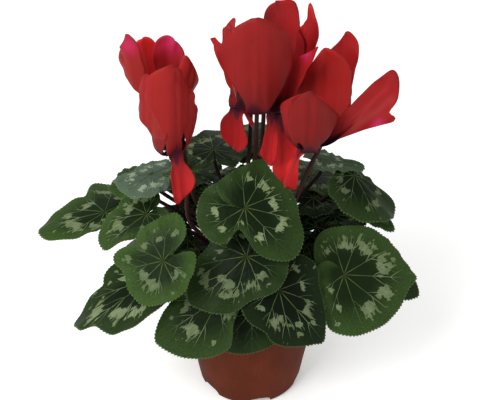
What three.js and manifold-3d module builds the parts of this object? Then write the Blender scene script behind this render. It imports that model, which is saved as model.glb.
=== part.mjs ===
// A potted cyclamen: heart-shaped marbled leaves and crimson flowers with swept-back petals,
// growing from one tuber in a small thin-walled plastic pot.
// Millimetres, +Z up. The origin is the centre of the pot's underside, on the surface it stands on,
// and the plant's front looks along -Y.

import * as THREE from "three";
import { mergeVertices } from "three/addons/utils/BufferGeometryUtils.js";
import Module from "manifold-3d";

// Pot
const POT_HEIGHT = 95;
const POT_TOP_RADIUS = 54;
const POT_BASE_RADIUS = 39;
const POT_WALL = 1.3;
const POT_SIDES = 30;
const LIP_WIDTH = 2.2;
const LIP_HEIGHT = 9;
const BASE_CORNER = 2.5;
const NOTCH_COUNT = 6;
const NOTCH_WIDTH = 17;
const NOTCH_HEIGHT = 6.5;
const NOTCH_DEPTH = 5;
const NOTCH_FIRST_ANGLE = -79.4;
const NOTCH_SPRING = 1.5; // where the arch leaves the straight jamb

// Soil and tuber
const SOIL_LEVEL = 84;
const SOIL_GAP = 0.3;
const SOIL_BUMP = 1.2;
const SOIL_SIDES = 18;
const TUBER_RADIUS = 21;
const TUBER_TOP = 91;
const TUBER_BOTTOM = 66;
const CROWN_RADIUS = 10;
const FLOWER_ROOT_RADIUS = 6;
const STALK_SINK = 5; // how far the leaf stalks start below the tuber's top

// Leaves
const BLADE_THICKNESS = 0.9;
const BLADE_RINGS = [0.4, 0.74]; // shares of the way to the rim
const RIM_STEPS = 24;
const SINUS_ANGLE = 176; // from the tip to each side of the gap between the lobes
const TOOTH = 0.05; // depth of the notches between teeth, as a share of the way to the rim
const EDGE_WAVES = 5;
const MIDRIB_FLAT = 5; // half breadth of the part by the midrib that a fold leaves flat
const LEAF_STALK_RADIUS = 1.5;
const LEAF_STALK_SIDES = 5;
const LEAF_STALK_STEPS = 5;
const FLOWER_STALK_RADIUS = 1.7;
const FLOWER_STALK_SIDES = 5;
const STALK_GAP = 0.3;

// Flowers
const PETAL_THICKNESS = 0.9;
const PETAL_SPANS = 4;
const PETAL_CROSS = 3;
const PETAL_SUBSTEPS = 5;
const PETAL_TURN = 9; // how soon a petal has turned from its rise at the mouth to that at the tip
const PETAL_LEAN = 18;
const PETAL_BROADEST = 0.62; // share of the length
const THROAT_RADIUS = 6;
const THROAT_LENGTH = 8;
const THROAT_WALL = 1.2;
const THROAT_SIDES = 8;
const THROAT_TURN = 10; // keeps the throat's corners off the petals' edges
const CALYX_RADIUS = 4;
const CALYX_HEIGHT = 3.6;
const HOOK_RADIUS = 4.6;
const HOOK_RISE = 5; // from the throat's top to the hook's centre

const RAD = Math.PI / 180;
const SMALLEST_EDGE = 0.05;

const wasm = await Module();
wasm.setup();

// Materials
const potPlastic = new THREE.MeshStandardMaterial({ color: 0x74392a, roughness: 0.5, metalness: 0 });
const pottingSoil = new THREE.MeshStandardMaterial({ color: 0x2c211b, roughness: 1, metalness: 0 });
const stalkSkin = new THREE.MeshStandardMaterial({ color: 0x5f3328, roughness: 0.55, metalness: 0 });
const leafGreen = new THREE.MeshStandardMaterial({ color: 0x2f4d27, roughness: 0.5, metalness: 0 });
const petalCrimson = new THREE.MeshStandardMaterial({ color: 0xa92229, roughness: 0.6, metalness: 0 });

// Leaves whose place is seen from the front. `at` is where the stalk meets the blade. The midrib
// leaves it along `heading`, counted from +X towards +Y, and `pitch` above the level, and `roll`
// lifts the side on the left of the midrib. `length` runs from the stalk to the tip, and `width`
// is a share of the natural width. `droop` bends the blade down along the midrib, in degrees,
// `fold` lifts (+) or drops (-) both halves, `lobe` is how far the lobes reach back past the
// stalk, and `wave` is the height of the waves at the edge.
const FRONT_LEAVES = [
  { name: "leaf_left_far", at: [-100, 4, 143], heading: 195, pitch: 0, roll: -5, length: 45, width: 0.9 },
  { name: "leaf_left_middle", at: [-67, -20, 158], heading: 209, pitch: -22, roll: -26, length: 40, fold: -14,
    lobe: 0.45 },
  { name: "leaf_left_grey", at: [-64, -3, 178], heading: 199, pitch: 6, roll: -4, length: 31,
    lobe: 0.35 },
  { name: "leaf_left_behind", at: [-83, 26, 158], heading: 200, pitch: -10, roll: -6, length: 26 },
  { name: "leaf_left_face", at: [-52, -63, 153], heading: 178, pitch: -16, roll: -48, length: 37 },
  { name: "leaf_left_low", at: [-64, -44, 122], heading: 195, pitch: -27, roll: -17, length: 65, width: 0.58,
    lobe: 0.35 },
  { name: "leaf_top_left", at: [-25, 24, 181], heading: 100, pitch: 8, roll: 0, length: 38 },
  { name: "leaf_centre", at: [-3, -46, 180], heading: 330, pitch: -35, roll: 37, length: 45, width: 1.06 },
  { name: "leaf_centre_low", at: [-2, -52, 148], heading: 209, pitch: -32, roll: -36, length: 50,
    lobe: 0.4 },
  { name: "leaf_front_left", at: [-20, -57, 118], heading: 195, pitch: -30, roll: -44, length: 52, lobe: 0.35,
    width: 0.84 },
  { name: "leaf_front_middle", at: [1, -54, 105], heading: 272, pitch: -58, roll: 0, length: 31, lobe: 0.4,
    width: 1.2 },
  { name: "leaf_front_right", at: [18, -60, 128], heading: 335, pitch: -42, roll: 36, length: 50, lobe: 0.35,
    width: 0.86 },
  { name: "leaf_right_large", at: [61, -40, 124], heading: 6, pitch: -8, roll: 51, length: 56, lobe: 0.4 },
  { name: "leaf_right_tip", at: [86, -2, 111], heading: 337, pitch: -22, roll: 18, length: 42, lobe: 0.4 },
  { name: "leaf_right_shaded", at: [46, -3, 136], heading: 32, pitch: 20, roll: 0, length: 28, lobe: 0.3 },
  { name: "leaf_right_folded", at: [70, 8, 170], heading: 299, pitch: -24, roll: -13, length: 36, lobe: 0.5,
    fold: -16, width: 1.15 },
  { name: "leaf_right_under", at: [82, 12, 142], heading: 333, pitch: -4, roll: 3, length: 25, lobe: 0.3 },
  { name: "leaf_right_top", at: [50, 18, 177], heading: 354, pitch: 2, roll: 3, length: 30, lobe: 0.4 },
  { name: "leaf_back_top", at: [4, 44, 176], heading: 84, pitch: 6, roll: 0, length: 38, lobe: 0.45 },
  { name: "leaf_left_inner", at: [-16, 2, 150], heading: 256, pitch: -30, roll: -6, length: 28, lobe: 0.4,
    width: 0.85, root: 238 },
  { name: "leaf_left_shaded", at: [-43, -4, 125], heading: 204, pitch: 6, roll: 0, length: 25, lobe: 0.25,
    droop: 4 },
];
const LEAF_DEFAULTS = { width: 1, droop: 24, fold: -5, lobe: 0.6, wave: 2, phase: 40 };

// The back of the plant: leaves in three tiers, at equal steps round the crown, and every other
// one a little higher.
const BACK_COUNT = 8;
const BACK_FIRST_ANGLE = 36;
const BACK_STEP = 17;
const BACK_LIFT = 7;
const BACK_TIERS = [
  { radius: 54, height: 156, pitch: 0, length: 38, lobe: 0.4 },
  { radius: 66, height: 108, pitch: -26, length: 48, lobe: 0.35 },
  { radius: 60, height: 134, pitch: -12, length: 46, lobe: 0.4 },
];

// Flowers: `mouth` is the centre of the open throat, which faces down. The stalk stands at the
// angle `root` on the crown, goes through `via` and passes the throat on the side `stalkSide`.
// Each petal is [azimuth, rise at the mouth, rise at the tip, length, width, twist, cup], with
// angles in degrees: most are swept back to stand straight up, and some still hang.
const FLOWERS = [
  { name: "flower_left_back", mouth: [-57, 16, 207], stalkSide: -60, root: 150, via: [-36, 4, 150],
    petals: [[190, -40, 84, 59, 24, 10, 5], [125, -40, 84, 57, 26, 0, 5], [60, -40, 87, 56, 28, 0, 5],
      [-15, -40, 80, 48, 24, -70, 5], [-80, -40, 92, 50, 28, 0, 4]] },
  { name: "flower_left_front", mouth: [-49, -26, 211], stalkSide: 20, root: 205, via: [-40, -16, 150],
    petals: [[-150, -40, 97, 48, 20, 20, 6], [-65, -40, 86, 58, 30, 0, 6], [100, -40, 90, 46, 24, 0, 5],
      [-10, -40, 80, 42, 22, -45, 5], [-44, -60, -88, 40, 16, 0, 3]] },
  { name: "flower_middle_left", mouth: [-8, 20, 219], stalkSide: -20, root: 100, via: [-3, 14, 150],
    petals: [[210, -40, 88, 46, 22, -20, 5], [105, -40, 72, 52, 20, 20, 5], [80, -40, 88, 50, 18, -70, 5],
      [-95, -60, -85, 36, 18, 0, 4], [-30, -60, -60, 20, 10, 0, 3]] },
  { name: "flower_middle", mouth: [6, -14, 231], stalkSide: 100, root: 260, via: [3, -8, 150],
    petals: [[-105, -40, 88, 64, 40, 0, 6], [-4, -40, 80, 58, 32, 45, 7], [62, -40, 88, 62, 32, 45, 5],
      [165, -40, 88, 56, 28, 0, 5], [80, -40, 90, 60, 28, 0, 5]] },
  { name: "flower_middle_right", mouth: [18, 9, 219], stalkSide: 180, root: 50, via: [9, 8, 150],
    petals: [[55, -40, 78, 70, 24, -20, 6], [80, -40, 82, 60, 26, 0, 5], [150, -40, 80, 40, 18, 0, 5],
      [-70, -60, -84, 52, 19, 0, 4], [-125, -60, -84, 36, 12, 0, 3]] },
  { name: "flower_right_back", mouth: [51, 4, 208], stalkSide: 180, root: 0, via: [28, 8, 170],
    petals: [[-120, -40, 91, 58, 40, 0, 5], [70, -40, 85, 64, 24, 0, 5], [110, -40, 84, 50, 22, 0, 5],
      [170, -40, 92, 46, 20, 0, 5], [26, -40, 88, 42, 20, 0, 5]] },
  { name: "flower_right_front", mouth: [35, -38, 218], stalkSide: 40, root: 310, via: [22, -25, 150],
    petals: [[-100, -40, 92, 40, 32, 0, 7], [0, 0, 50, 52, 25, 60, 5], [80, -40, 90, 36, 20, 0, 5],
      [180, -40, 88, 38, 20, 45, 5], [-165, -60, -70, 28, 14, 0, 3]] },
];

// A closed geometry becomes a solid, and a solid becomes a geometry.
function toSolid(geometry) {
  const bare = geometry.index ? geometry.toNonIndexed() : geometry.clone();
  bare.deleteAttribute("normal");
  bare.deleteAttribute("uv");
  const welded = mergeVertices(bare, 1e-4);
  const mesh = new wasm.Mesh({
    numProp: 3,
    vertProperties: new Float32Array(welded.attributes.position.array),
    triVerts: new Uint32Array(welded.index.array),
  });
  return new wasm.Manifold(mesh);
}

function toGeometry(solid) {
  const mesh = solid.getMesh();
  const geometry = new THREE.BufferGeometry();
  geometry.setAttribute("position", new THREE.BufferAttribute(new Float32Array(mesh.vertProperties), 3));
  geometry.setIndex(new THREE.BufferAttribute(new Uint32Array(mesh.triVerts), 1));
  geometry.computeVertexNormals();
  return geometry;
}

function join(solids) {
  return solids.reduce((sum, solid) => sum.add(solid));
}

// The largest body of a solid, without the crumbs and the hair-thin edges that a cut can leave.
function wholeBody(solid) {
  const largest = solid.decompose().reduce((most, body) => (body.volume() > most.volume() ? body : most));
  return largest.simplify(SMALLEST_EDGE);
}

// A skin of given thickness round a sheet: `points` lie on its middle surface, `triangles` are its
// faces, and `rim` is its closed outline, counted against the turn of the faces.
function thickSheet(points, normals, triangles, rim, thickness) {
  const position = [];
  for (const side of [0.5, -0.5]) {
    points.forEach((p, i) => {
      const q = p.clone().addScaledVector(normals[i], side * thickness);
      position.push(q.x, q.y, q.z);
    });
  }
  const below = points.length;
  const index = [];
  for (const [a, b, c] of triangles) {
    index.push(a, b, c, below + c, below + b, below + a);
  }
  rim.forEach((a, i) => {
    const b = rim[(i + 1) % rim.length];
    index.push(a, below + a, b, b, below + a, below + b);
  });
  const geometry = new THREE.BufferGeometry();
  geometry.setAttribute("position", new THREE.BufferAttribute(new Float32Array(position), 3));
  geometry.setIndex(index);
  return geometry;
}

// A curve through its points whose equal steps fall on the points themselves.
class StepCurve extends THREE.CatmullRomCurve3 {
  getPointAt(share, target) {
    return this.getPoint(share, target);
  }

  getTangentAt(share, target) {
    return this.getTangent(share, target);
  }
}

// A round stalk along a curve, closed at both ends.
function tube(curve, radius, sides, steps) {
  const outline = new THREE.Shape();
  for (let i = 0; i < sides; i++) {
    const angle = (i / sides) * 2 * Math.PI;
    const x = radius * Math.cos(angle);
    const y = radius * Math.sin(angle);
    if (i === 0) outline.moveTo(x, y);
    else outline.lineTo(x, y);
  }
  return new THREE.ExtrudeGeometry(outline, { steps, extrudePath: curve, bevelEnabled: false });
}

// Pot: a thin tapered shell with a turned-out lip, and arched notches round its bottom corner.
function potShell() {
  const slope = (POT_TOP_RADIUS - LIP_WIDTH - POT_BASE_RADIUS) / (POT_HEIGHT - LIP_HEIGHT);
  const wallAt = (z) => POT_BASE_RADIUS + slope * z;
  const underLip = POT_HEIGHT - LIP_HEIGHT;
  const profile = [
    [0, 0],
    [POT_BASE_RADIUS - BASE_CORNER, 0],
    [POT_BASE_RADIUS - 0.3 * BASE_CORNER, 0.3 * BASE_CORNER],
    [wallAt(BASE_CORNER), BASE_CORNER],
    [wallAt(underLip), underLip],
    [POT_TOP_RADIUS - 0.4, underLip + 0.6],
    [POT_TOP_RADIUS, POT_HEIGHT],
    [POT_TOP_RADIUS - POT_WALL, POT_HEIGHT],
    [POT_TOP_RADIUS - POT_WALL - 0.5, underLip + 1.5],
    [wallAt(underLip) - POT_WALL, underLip - 1],
    [wallAt(BASE_CORNER) - POT_WALL, BASE_CORNER + 0.5],
    [POT_BASE_RADIUS - BASE_CORNER - 1, POT_WALL],
    [0, POT_WALL],
  ].map(([r, z]) => new THREE.Vector2(r, z));
  const shell = new THREE.LatheGeometry(profile, POT_SIDES).rotateX(Math.PI / 2);
  let solid = toSolid(shell);
  for (let i = 0; i < NOTCH_COUNT; i++) {
    solid = solid.subtract(toSolid(notch(NOTCH_FIRST_ANGLE + (i * 360) / NOTCH_COUNT)));
  }
  return toGeometry(solid);
}

// One arched notch, reaching from outside the wall a little way in under the floor.
function notch(angle) {
  const half = NOTCH_WIDTH / 2;
  const arch = new THREE.Shape();
  arch.moveTo(-half, -1);
  arch.lineTo(half, -1);
  arch.lineTo(half, NOTCH_SPRING);
  arch.quadraticCurveTo(half, NOTCH_HEIGHT, 0, NOTCH_HEIGHT);
  arch.quadraticCurveTo(-half, NOTCH_HEIGHT, -half, NOTCH_SPRING);
  const inner = POT_BASE_RADIUS - NOTCH_DEPTH;
  const geometry = new THREE.ExtrudeGeometry(arch, { depth: 12, bevelEnabled: false, curveSegments: 3 });
  geometry.rotateX(Math.PI / 2).rotateZ(Math.PI / 2);
  geometry.translate(inner, 0, 0).rotateZ(angle * RAD);
  return geometry;
}

// Soil: a plug that fills the pot to below its lip, with a lumpy top and a pocket for the tuber.
function soilPlug() {
  const slope = (POT_TOP_RADIUS - LIP_WIDTH - POT_BASE_RADIUS) / (POT_HEIGHT - LIP_HEIGHT);
  const inside = (z) => POT_BASE_RADIUS + slope * z - POT_WALL - SOIL_GAP;
  const bottom = POT_WALL + SOIL_GAP;
  const profile = [
    [0, bottom],
    [POT_BASE_RADIUS - BASE_CORNER - 2.5, bottom],
    [inside(9) - 3, 8],
    [inside(12), 12],
    [inside(SOIL_LEVEL) - 0.6, SOIL_LEVEL - 1.5],
    [TUBER_RADIUS + 14, SOIL_LEVEL],
    [TUBER_RADIUS + 4, SOIL_LEVEL],
    [0, SOIL_LEVEL],
  ].map(([r, z]) => new THREE.Vector2(r, z));
  const geometry = new THREE.LatheGeometry(profile, SOIL_SIDES).rotateX(Math.PI / 2);
  const position = geometry.attributes.position;
  for (let i = 0; i < position.count; i++) {
    const x = position.getX(i);
    const y = position.getY(i);
    if (position.getZ(i) > SOIL_LEVEL - 0.1) {
      position.setZ(i, SOIL_LEVEL + SOIL_BUMP * Math.sin(x * 0.31 + 1) * Math.cos(y * 0.27));
    }
  }
  const pocket = toSolid(tuberBody(SOIL_GAP));
  return toGeometry(toSolid(geometry).subtract(pocket));
}

// The tuber's body, a flattened round corm, swollen by `margin` all over.
function tuberBody(margin) {
  const middle = (TUBER_TOP + TUBER_BOTTOM) / 2;
  const half = (TUBER_TOP - TUBER_BOTTOM) / 2 + margin;
  const body = new THREE.SphereGeometry(1, 14, 8).rotateX(Math.PI / 2);
  body.scale(TUBER_RADIUS + margin, TUBER_RADIUS + margin, half);
  return body.translate(0, 0, middle);
}

// The frame of a leaf: its midrib, its left side and its upper face.
function leafAxes({ heading, pitch, roll }) {
  const h = heading * RAD;
  const p = pitch * RAD;
  const r = roll * RAD;
  const midrib = new THREE.Vector3(Math.cos(p) * Math.cos(h), Math.cos(p) * Math.sin(h), Math.sin(p));
  const level = new THREE.Vector3(-Math.sin(h), Math.cos(h), 0);
  const upright = new THREE.Vector3().crossVectors(midrib, level);
  const side = level.clone().multiplyScalar(Math.cos(r)).addScaledVector(upright, Math.sin(r));
  const up = upright.clone().multiplyScalar(Math.cos(r)).addScaledVector(level, -Math.sin(r));
  return { midrib, side, up };
}

// The outline of a heart-shaped blade, as a share of its length, at an angle from the tip.
function heart(angle, lobe) {
  const turn = Math.abs(angle);
  const body = 0.7 + 0.1 * Math.cos(angle * RAD) + 0.2 * Math.exp(-((turn / 20) ** 2));
  const back = THREE.MathUtils.smoothstep(turn, 80, 150);
  const past = Math.max(0, turn - 155) / 25;
  return (body + (lobe - 0.6) * back) * (1 - 0.8 * past ** 2.5);
}

// A heart-shaped blade with a waved and toothed edge, as a skin on spokes round its stalk.
function bladeSheet(leaf) {
  const { at, length, width, droop, fold, lobe, wave, phase } = { ...LEAF_DEFAULTS, ...leaf };
  const { midrib, side, up } = leafAxes(leaf);
  const origin = new THREE.Vector3(...at);
  const bend = length / Math.max(droop * RAD, 1e-3);
  const place = (angle, share) => {
    const r = share * length * heart(angle, lobe);
    const u = r * Math.cos(angle * RAD);
    const v = r * Math.sin(angle * RAD) * width;
    const edge = (r / length) ** 2;
    const ripple = wave * edge * Math.sin((EDGE_WAVES * angle + phase) * RAD);
    const slant = (Math.hypot(v, MIDRIB_FLAT) - MIDRIB_FLAT) * Math.tan(fold * RAD);
    const w = slant - bend * (1 - Math.cos(u / bend)) + ripple;
    return origin.clone()
      .addScaledVector(midrib, bend * Math.sin(u / bend))
      .addScaledVector(side, v)
      .addScaledVector(up, w);
  };
  const half = RIM_STEPS / 2;
  const points = [origin.clone()];
  for (const share of BLADE_RINGS) {
    for (let i = 0; i <= half; i++) points.push(place(SINUS_ANGLE * (1 - (2 * i) / half), share));
  }
  for (let i = 0; i <= RIM_STEPS; i++) {
    const tooth = i % 2 === 0 ? 1 : 1 - TOOTH;
    points.push(place(SINUS_ANGLE * (1 - (2 * i) / RIM_STEPS), tooth));
  }
  const inner = 1;
  const middle = inner + half + 1;
  const outer = middle + half + 1;
  const triangles = [];
  for (let i = 0; i < half; i++) {
    const a = middle + i;
    const b = outer + 2 * i;
    triangles.push([0, inner + i + 1, inner + i]);
    triangles.push([inner + i, inner + i + 1, middle + i + 1], [inner + i, middle + i + 1, middle + i]);
    triangles.push([a, b + 1, b], [a, a + 1, b + 1], [a + 1, b + 2, b + 1]);
  }
  const rim = [0, inner, middle];
  for (let i = 0; i <= RIM_STEPS; i++) rim.push(outer + i);
  rim.push(middle + half, inner + half);
  return { points, triangles, rim, up };
}

function blade(leaf) {
  const { points, triangles, rim, up } = bladeSheet(leaf);
  return thickSheet(points, points.map(() => up), triangles, rim.reverse(), BLADE_THICKNESS);
}

// The curve of a leaf's stalk, from the tuber's crown to just under its blade.
function leafStalkCurve(leaf) {
  const { up } = leafAxes(leaf);
  const [x, y, z] = leaf.at;
  const azimuth = leaf.root ?? Math.atan2(y, x) / RAD;
  const out = new THREE.Vector3(Math.cos(azimuth * RAD), Math.sin(azimuth * RAD), 0);
  const start = out.clone().multiplyScalar(CROWN_RADIUS).setZ(TUBER_TOP - STALK_SINK);
  const end = new THREE.Vector3(x, y, z).addScaledVector(up, -BLADE_THICKNESS / 2 - STALK_GAP - 0.2);
  const rise = start.clone().lerp(end, 0.2).setZ(start.z + 0.8 * Math.max(end.z - start.z, 20));
  const under = end.clone().addScaledVector(up, -0.22 * end.distanceTo(start));
  return new THREE.CubicBezierCurve3(start, rise, under, end);
}

// Tuber and leaf stalks, grown together.
function tuberWithLeafStalks(leaves) {
  const stalks = leaves.map((leaf) => {
    return toSolid(tube(leafStalkCurve(leaf), LEAF_STALK_RADIUS, LEAF_STALK_SIDES, LEAF_STALK_STEPS));
  });
  return toGeometry(wholeBody(join([toSolid(tuberBody(0)), ...stalks])));
}

// One petal, as a strip that leaves the throat's rim and turns up or down.
function petalSolid([mx, my, mz], [azimuth, riseStart, riseTip, length, width, twist, cup]) {
  const out = new THREE.Vector3(Math.cos(azimuth * RAD), Math.sin(azimuth * RAD), 0);
  const across = new THREE.Vector3(-Math.sin(azimuth * RAD), Math.cos(azimuth * RAD), 0);
  const centre = new THREE.Vector3(mx, my, mz).addScaledVector(out, THROAT_RADIUS - THROAT_WALL * 0.6);
  const points = [];
  const normals = [];
  const steps = PETAL_SUBSTEPS * PETAL_SPANS;
  for (let i = 0; i <= steps; i++) {
    const s = i / steps;
    const turn = 1 - Math.exp(-s * PETAL_TURN);
    const rise = (riseStart + (riseTip - riseStart) * turn) * RAD;
    const along = out.clone().multiplyScalar(Math.cos(rise)).add(new THREE.Vector3(0, 0, Math.sin(rise)));
    if (i > 0) centre.addScaledVector(along, length / steps);
    if (i % PETAL_SUBSTEPS !== 0) continue;
    const face = new THREE.Vector3().crossVectors(along, across).normalize();
    const spin = (PETAL_LEAN * Math.sin(Math.min(1, 3 * s) * 0.5 * Math.PI) + twist * s) * RAD;
    const crosswise = across.clone().multiplyScalar(Math.cos(spin)).addScaledVector(face, Math.sin(spin));
    const normal = face.clone().multiplyScalar(Math.cos(spin)).addScaledVector(across, -Math.sin(spin));
    const breadth = width * petalBreadth(s);
    for (let j = 0; j <= PETAL_CROSS; j++) {
      const t = (2 * j) / PETAL_CROSS - 1;
      points.push(centre.clone()
        .addScaledVector(crosswise, 0.5 * breadth * t)
        .addScaledVector(normal, cup * (breadth / width) * (t * t - 0.4)));
      normals.push(normal);
    }
  }
  const row = PETAL_CROSS + 1;
  const triangles = [];
  for (let i = 0; i < PETAL_SPANS; i++) {
    for (let j = 0; j < PETAL_CROSS; j++) {
      const a = i * row + j;
      triangles.push([a, a + row, a + row + 1], [a, a + row + 1, a + 1]);
    }
  }
  const rim = [];
  for (let j = 0; j < row; j++) rim.push(j);
  for (let i = 1; i <= PETAL_SPANS; i++) rim.push(i * row + PETAL_CROSS);
  for (let j = PETAL_CROSS - 1; j >= 0; j--) rim.push(PETAL_SPANS * row + j);
  for (let i = PETAL_SPANS - 1; i > 0; i--) rim.push(i * row);
  return toSolid(thickSheet(points, normals, triangles, rim.reverse(), PETAL_THICKNESS));
}

// The breadth of a petal along its length: narrow at the throat, broadest past the middle.
function petalBreadth(s) {
  const swell = 0.24 + 0.76 * Math.sin(Math.min(1, s / PETAL_BROADEST) * 0.5 * Math.PI) ** 1.3;
  const past = Math.max(0, s - PETAL_BROADEST) / (1 - PETAL_BROADEST + 0.005);
  return swell * Math.max(Math.sqrt(1 - past ** 2.4), 0.14);
}

// The throat: a short cup, open downwards, that the petals grow from.
function throat([x, y, z]) {
  const inner = THROAT_RADIUS - THROAT_WALL;
  const profile = [
    [0, THROAT_LENGTH - THROAT_WALL],
    [inner - 1.5, THROAT_LENGTH - THROAT_WALL],
    [inner, 1.5],
    [inner, 0],
    [THROAT_RADIUS, 0],
    [THROAT_RADIUS - 1.8, THROAT_LENGTH],
    [0, THROAT_LENGTH],
  ].map(([r, h]) => new THREE.Vector2(r, h));
  const cup = new THREE.LatheGeometry(profile, THROAT_SIDES).rotateX(Math.PI / 2);
  return cup.rotateZ(THROAT_TURN * RAD).translate(x, y, z);
}

// The curve of a flower stalk: up beside the throat, over in a hook, and down to the throat's top.
function flowerStalkCurve({ mouth, stalkSide, root, via }) {
  const up = new THREE.Vector3(0, 0, 1);
  const side = new THREE.Vector3(Math.cos(stalkSide * RAD), Math.sin(stalkSide * RAD), 0);
  const top = new THREE.Vector3(...mouth).addScaledVector(up, THROAT_LENGTH + STALK_GAP);
  const foot = new THREE.Vector3(Math.cos(root * RAD), Math.sin(root * RAD), 0)
    .multiplyScalar(FLOWER_ROOT_RADIUS)
    .setZ(TUBER_TOP + STALK_GAP);
  const beside = top.clone().addScaledVector(side, 2 * HOOK_RADIUS);
  const middle = new THREE.Vector3(...via);
  const points = [foot, foot.clone().addScaledVector(up, 10)];
  points.push(foot.clone().lerp(middle, 0.55).addScaledVector(up, 4), middle);
  points.push(middle.clone().lerp(beside, 0.5).addScaledVector(side, 1));
  points.push(beside.clone().addScaledVector(up, -10), beside.clone().addScaledVector(up, 2));
  for (const angle of [45, 90, 135]) {
    points.push(top.clone()
      .addScaledVector(side, HOOK_RADIUS * (1 + Math.cos(angle * RAD)))
      .addScaledVector(up, HOOK_RISE + HOOK_RADIUS * Math.sin(angle * RAD)));
  }
  points.push(top.clone().addScaledVector(up, HOOK_RISE - 1), top);
  return new StepCurve(points, false, "centripetal");
}

// The calyx: a small cap between the hook and the throat.
function calyx([x, y, z]) {
  const profile = [
    [0, 0],
    [CALYX_RADIUS, 0],
    [0.85 * CALYX_RADIUS, 0.4 * CALYX_HEIGHT],
    [0.5 * CALYX_RADIUS, 0.85 * CALYX_HEIGHT],
    [0, CALYX_HEIGHT],
  ].map(([r, h]) => new THREE.Vector2(r, h));
  const cap = new THREE.LatheGeometry(profile, THROAT_SIDES).rotateX(Math.PI / 2);
  return cap.translate(x, y, z + THROAT_LENGTH + STALK_GAP);
}

// A flower's stalk without its calyx, fattened by `margin`.
function flowerStalkTube(flower, margin) {
  const curve = flowerStalkCurve(flower);
  const radius = FLOWER_STALK_RADIUS + margin;
  return toSolid(tube(curve, radius, FLOWER_STALK_SIDES, curve.points.length - 1));
}

// A flower's stalk with its calyx.
function flowerStalk(flower) {
  return flowerStalkTube(flower, 0).add(toSolid(calyx(flower.mouth)));
}

// A flower's throat and petals, grown together, with room for its stalk to pass between them.
function flowerPetals(flower) {
  const petals = flower.petals.map((petal) => petalSolid(flower.mouth, petal));
  const bloom = join([toSolid(throat(flower.mouth)), ...petals]);
  return wholeBody(bloom.subtract(flowerStalkTube(flower, STALK_GAP)));
}

// The leaves of the plant's back.
function backLeaves() {
  const leaves = [];
  for (let i = 0; i < BACK_COUNT; i++) {
    const azimuth = BACK_FIRST_ANGLE + i * BACK_STEP;
    const { radius, height, ...shape } = BACK_TIERS[i % BACK_TIERS.length];
    const x = radius * Math.cos(azimuth * RAD);
    const y = radius * Math.sin(azimuth * RAD);
    const at = [x, y, height + BACK_LIFT * (i % 2)];
    leaves.push({ name: `leaf_back_${i + 1}`, at, heading: azimuth, roll: 0, ...shape });
  }
  return leaves;
}

const group = new THREE.Group();

function add(name, geometry, material) {
  const mesh = new THREE.Mesh(geometry, material);
  mesh.name = name;
  group.add(mesh);
}

add("pot", potShell(), potPlastic);
add("soil", soilPlug(), pottingSoil);
const leaves = [...FRONT_LEAVES, ...backLeaves()];
add("tuber_with_leaf_stalks", tuberWithLeafStalks(leaves), stalkSkin);
for (const leaf of leaves) add(leaf.name, blade(leaf), leafGreen);
for (const flower of FLOWERS) {
  add(`${flower.name}_petals`, toGeometry(flowerPetals(flower)), petalCrimson);
  add(`${flower.name}_stalk`, toGeometry(flowerStalk(flower)), stalkSkin);
}

export default group;
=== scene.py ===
"""A potted cyclamen: marbled heart-shaped leaves and crimson flowers on one tuber, in a thin plastic pot.

Lengths are in millimetres up to the point where a piece becomes a Blender object, which is in metres.
The plant stands on z = 0 and the photographed side looks towards -Y.
"""

import math
import random

import bpy
import numpy as np
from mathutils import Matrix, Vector


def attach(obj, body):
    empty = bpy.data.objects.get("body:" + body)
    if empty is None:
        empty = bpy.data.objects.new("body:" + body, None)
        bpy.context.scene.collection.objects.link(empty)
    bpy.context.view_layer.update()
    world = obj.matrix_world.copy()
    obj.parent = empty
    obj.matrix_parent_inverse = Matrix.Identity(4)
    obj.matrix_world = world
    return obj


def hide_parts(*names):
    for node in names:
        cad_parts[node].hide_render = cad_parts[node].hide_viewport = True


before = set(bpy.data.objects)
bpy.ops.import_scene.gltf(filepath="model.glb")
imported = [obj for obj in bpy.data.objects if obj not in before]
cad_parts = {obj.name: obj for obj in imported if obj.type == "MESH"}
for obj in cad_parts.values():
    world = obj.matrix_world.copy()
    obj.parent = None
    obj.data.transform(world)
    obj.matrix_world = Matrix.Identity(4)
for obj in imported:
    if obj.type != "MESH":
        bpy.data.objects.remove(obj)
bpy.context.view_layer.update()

MM = 0.001
UPWARDS = np.array([0.0, 0.0, 1.0])

# Camera: where it stands, and how many degrees it looks down.
CAMERA_AT = (0, -394, 408)
CAMERA_TILT = 32.6

# Pot
POT_HEIGHT = 95
POT_TOP_RADIUS = 54
POT_BASE_RADIUS = 39
POT_WALL = 1.3
LIP_WIDTH = 2.2
LIP_HEIGHT = 9
UNDER_LIP = POT_HEIGHT - LIP_HEIGHT
BASE_CORNER = 2.5
# The notches round the bottom corner: their size, how far in they reach, where the first one is, the
# height from which they are rounded, and how far the tool that cuts them runs.
NOTCH_COUNT = 6
NOTCH_WIDTH = 17
NOTCH_HEIGHT = 6.5
NOTCH_DEPTH = 5
NOTCH_FIRST_ANGLE = -79.4
NOTCH_SPRING = 1.5
NOTCH_CUT = 12

# Soil and tuber
SOIL_LEVEL = 84
SOIL_GAP = 0.3
SOIL_ROUGHNESS = 0.7
SOIL_SWELL = 1.2
# The loose crumbs lie on a ring of the soil. Their profile is (radius, height) for a size of 1.
CRUMB_COUNT = 260
CRUMB_RING = (24, 48)
CRUMB_SIZE = (0.6, 1.8)
CRUMB = ((0, -0.8), (0.8, -0.5), (1, 0.1), (0.6, 0.7), (0, 0.9))
TUBER_RADIUS = 21
TUBER_TOP = 91
TUBER_BOTTOM = 66
# How far from the middle leaf and flower stalks start, how deep the leaf stalks sit in the tuber, and
# the gap that keeps the solids apart.
CROWN_RADIUS = 10
FLOWER_ROOT_RADIUS = 6
STALK_SINK = 5
STALK_GAP = 0.3
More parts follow.
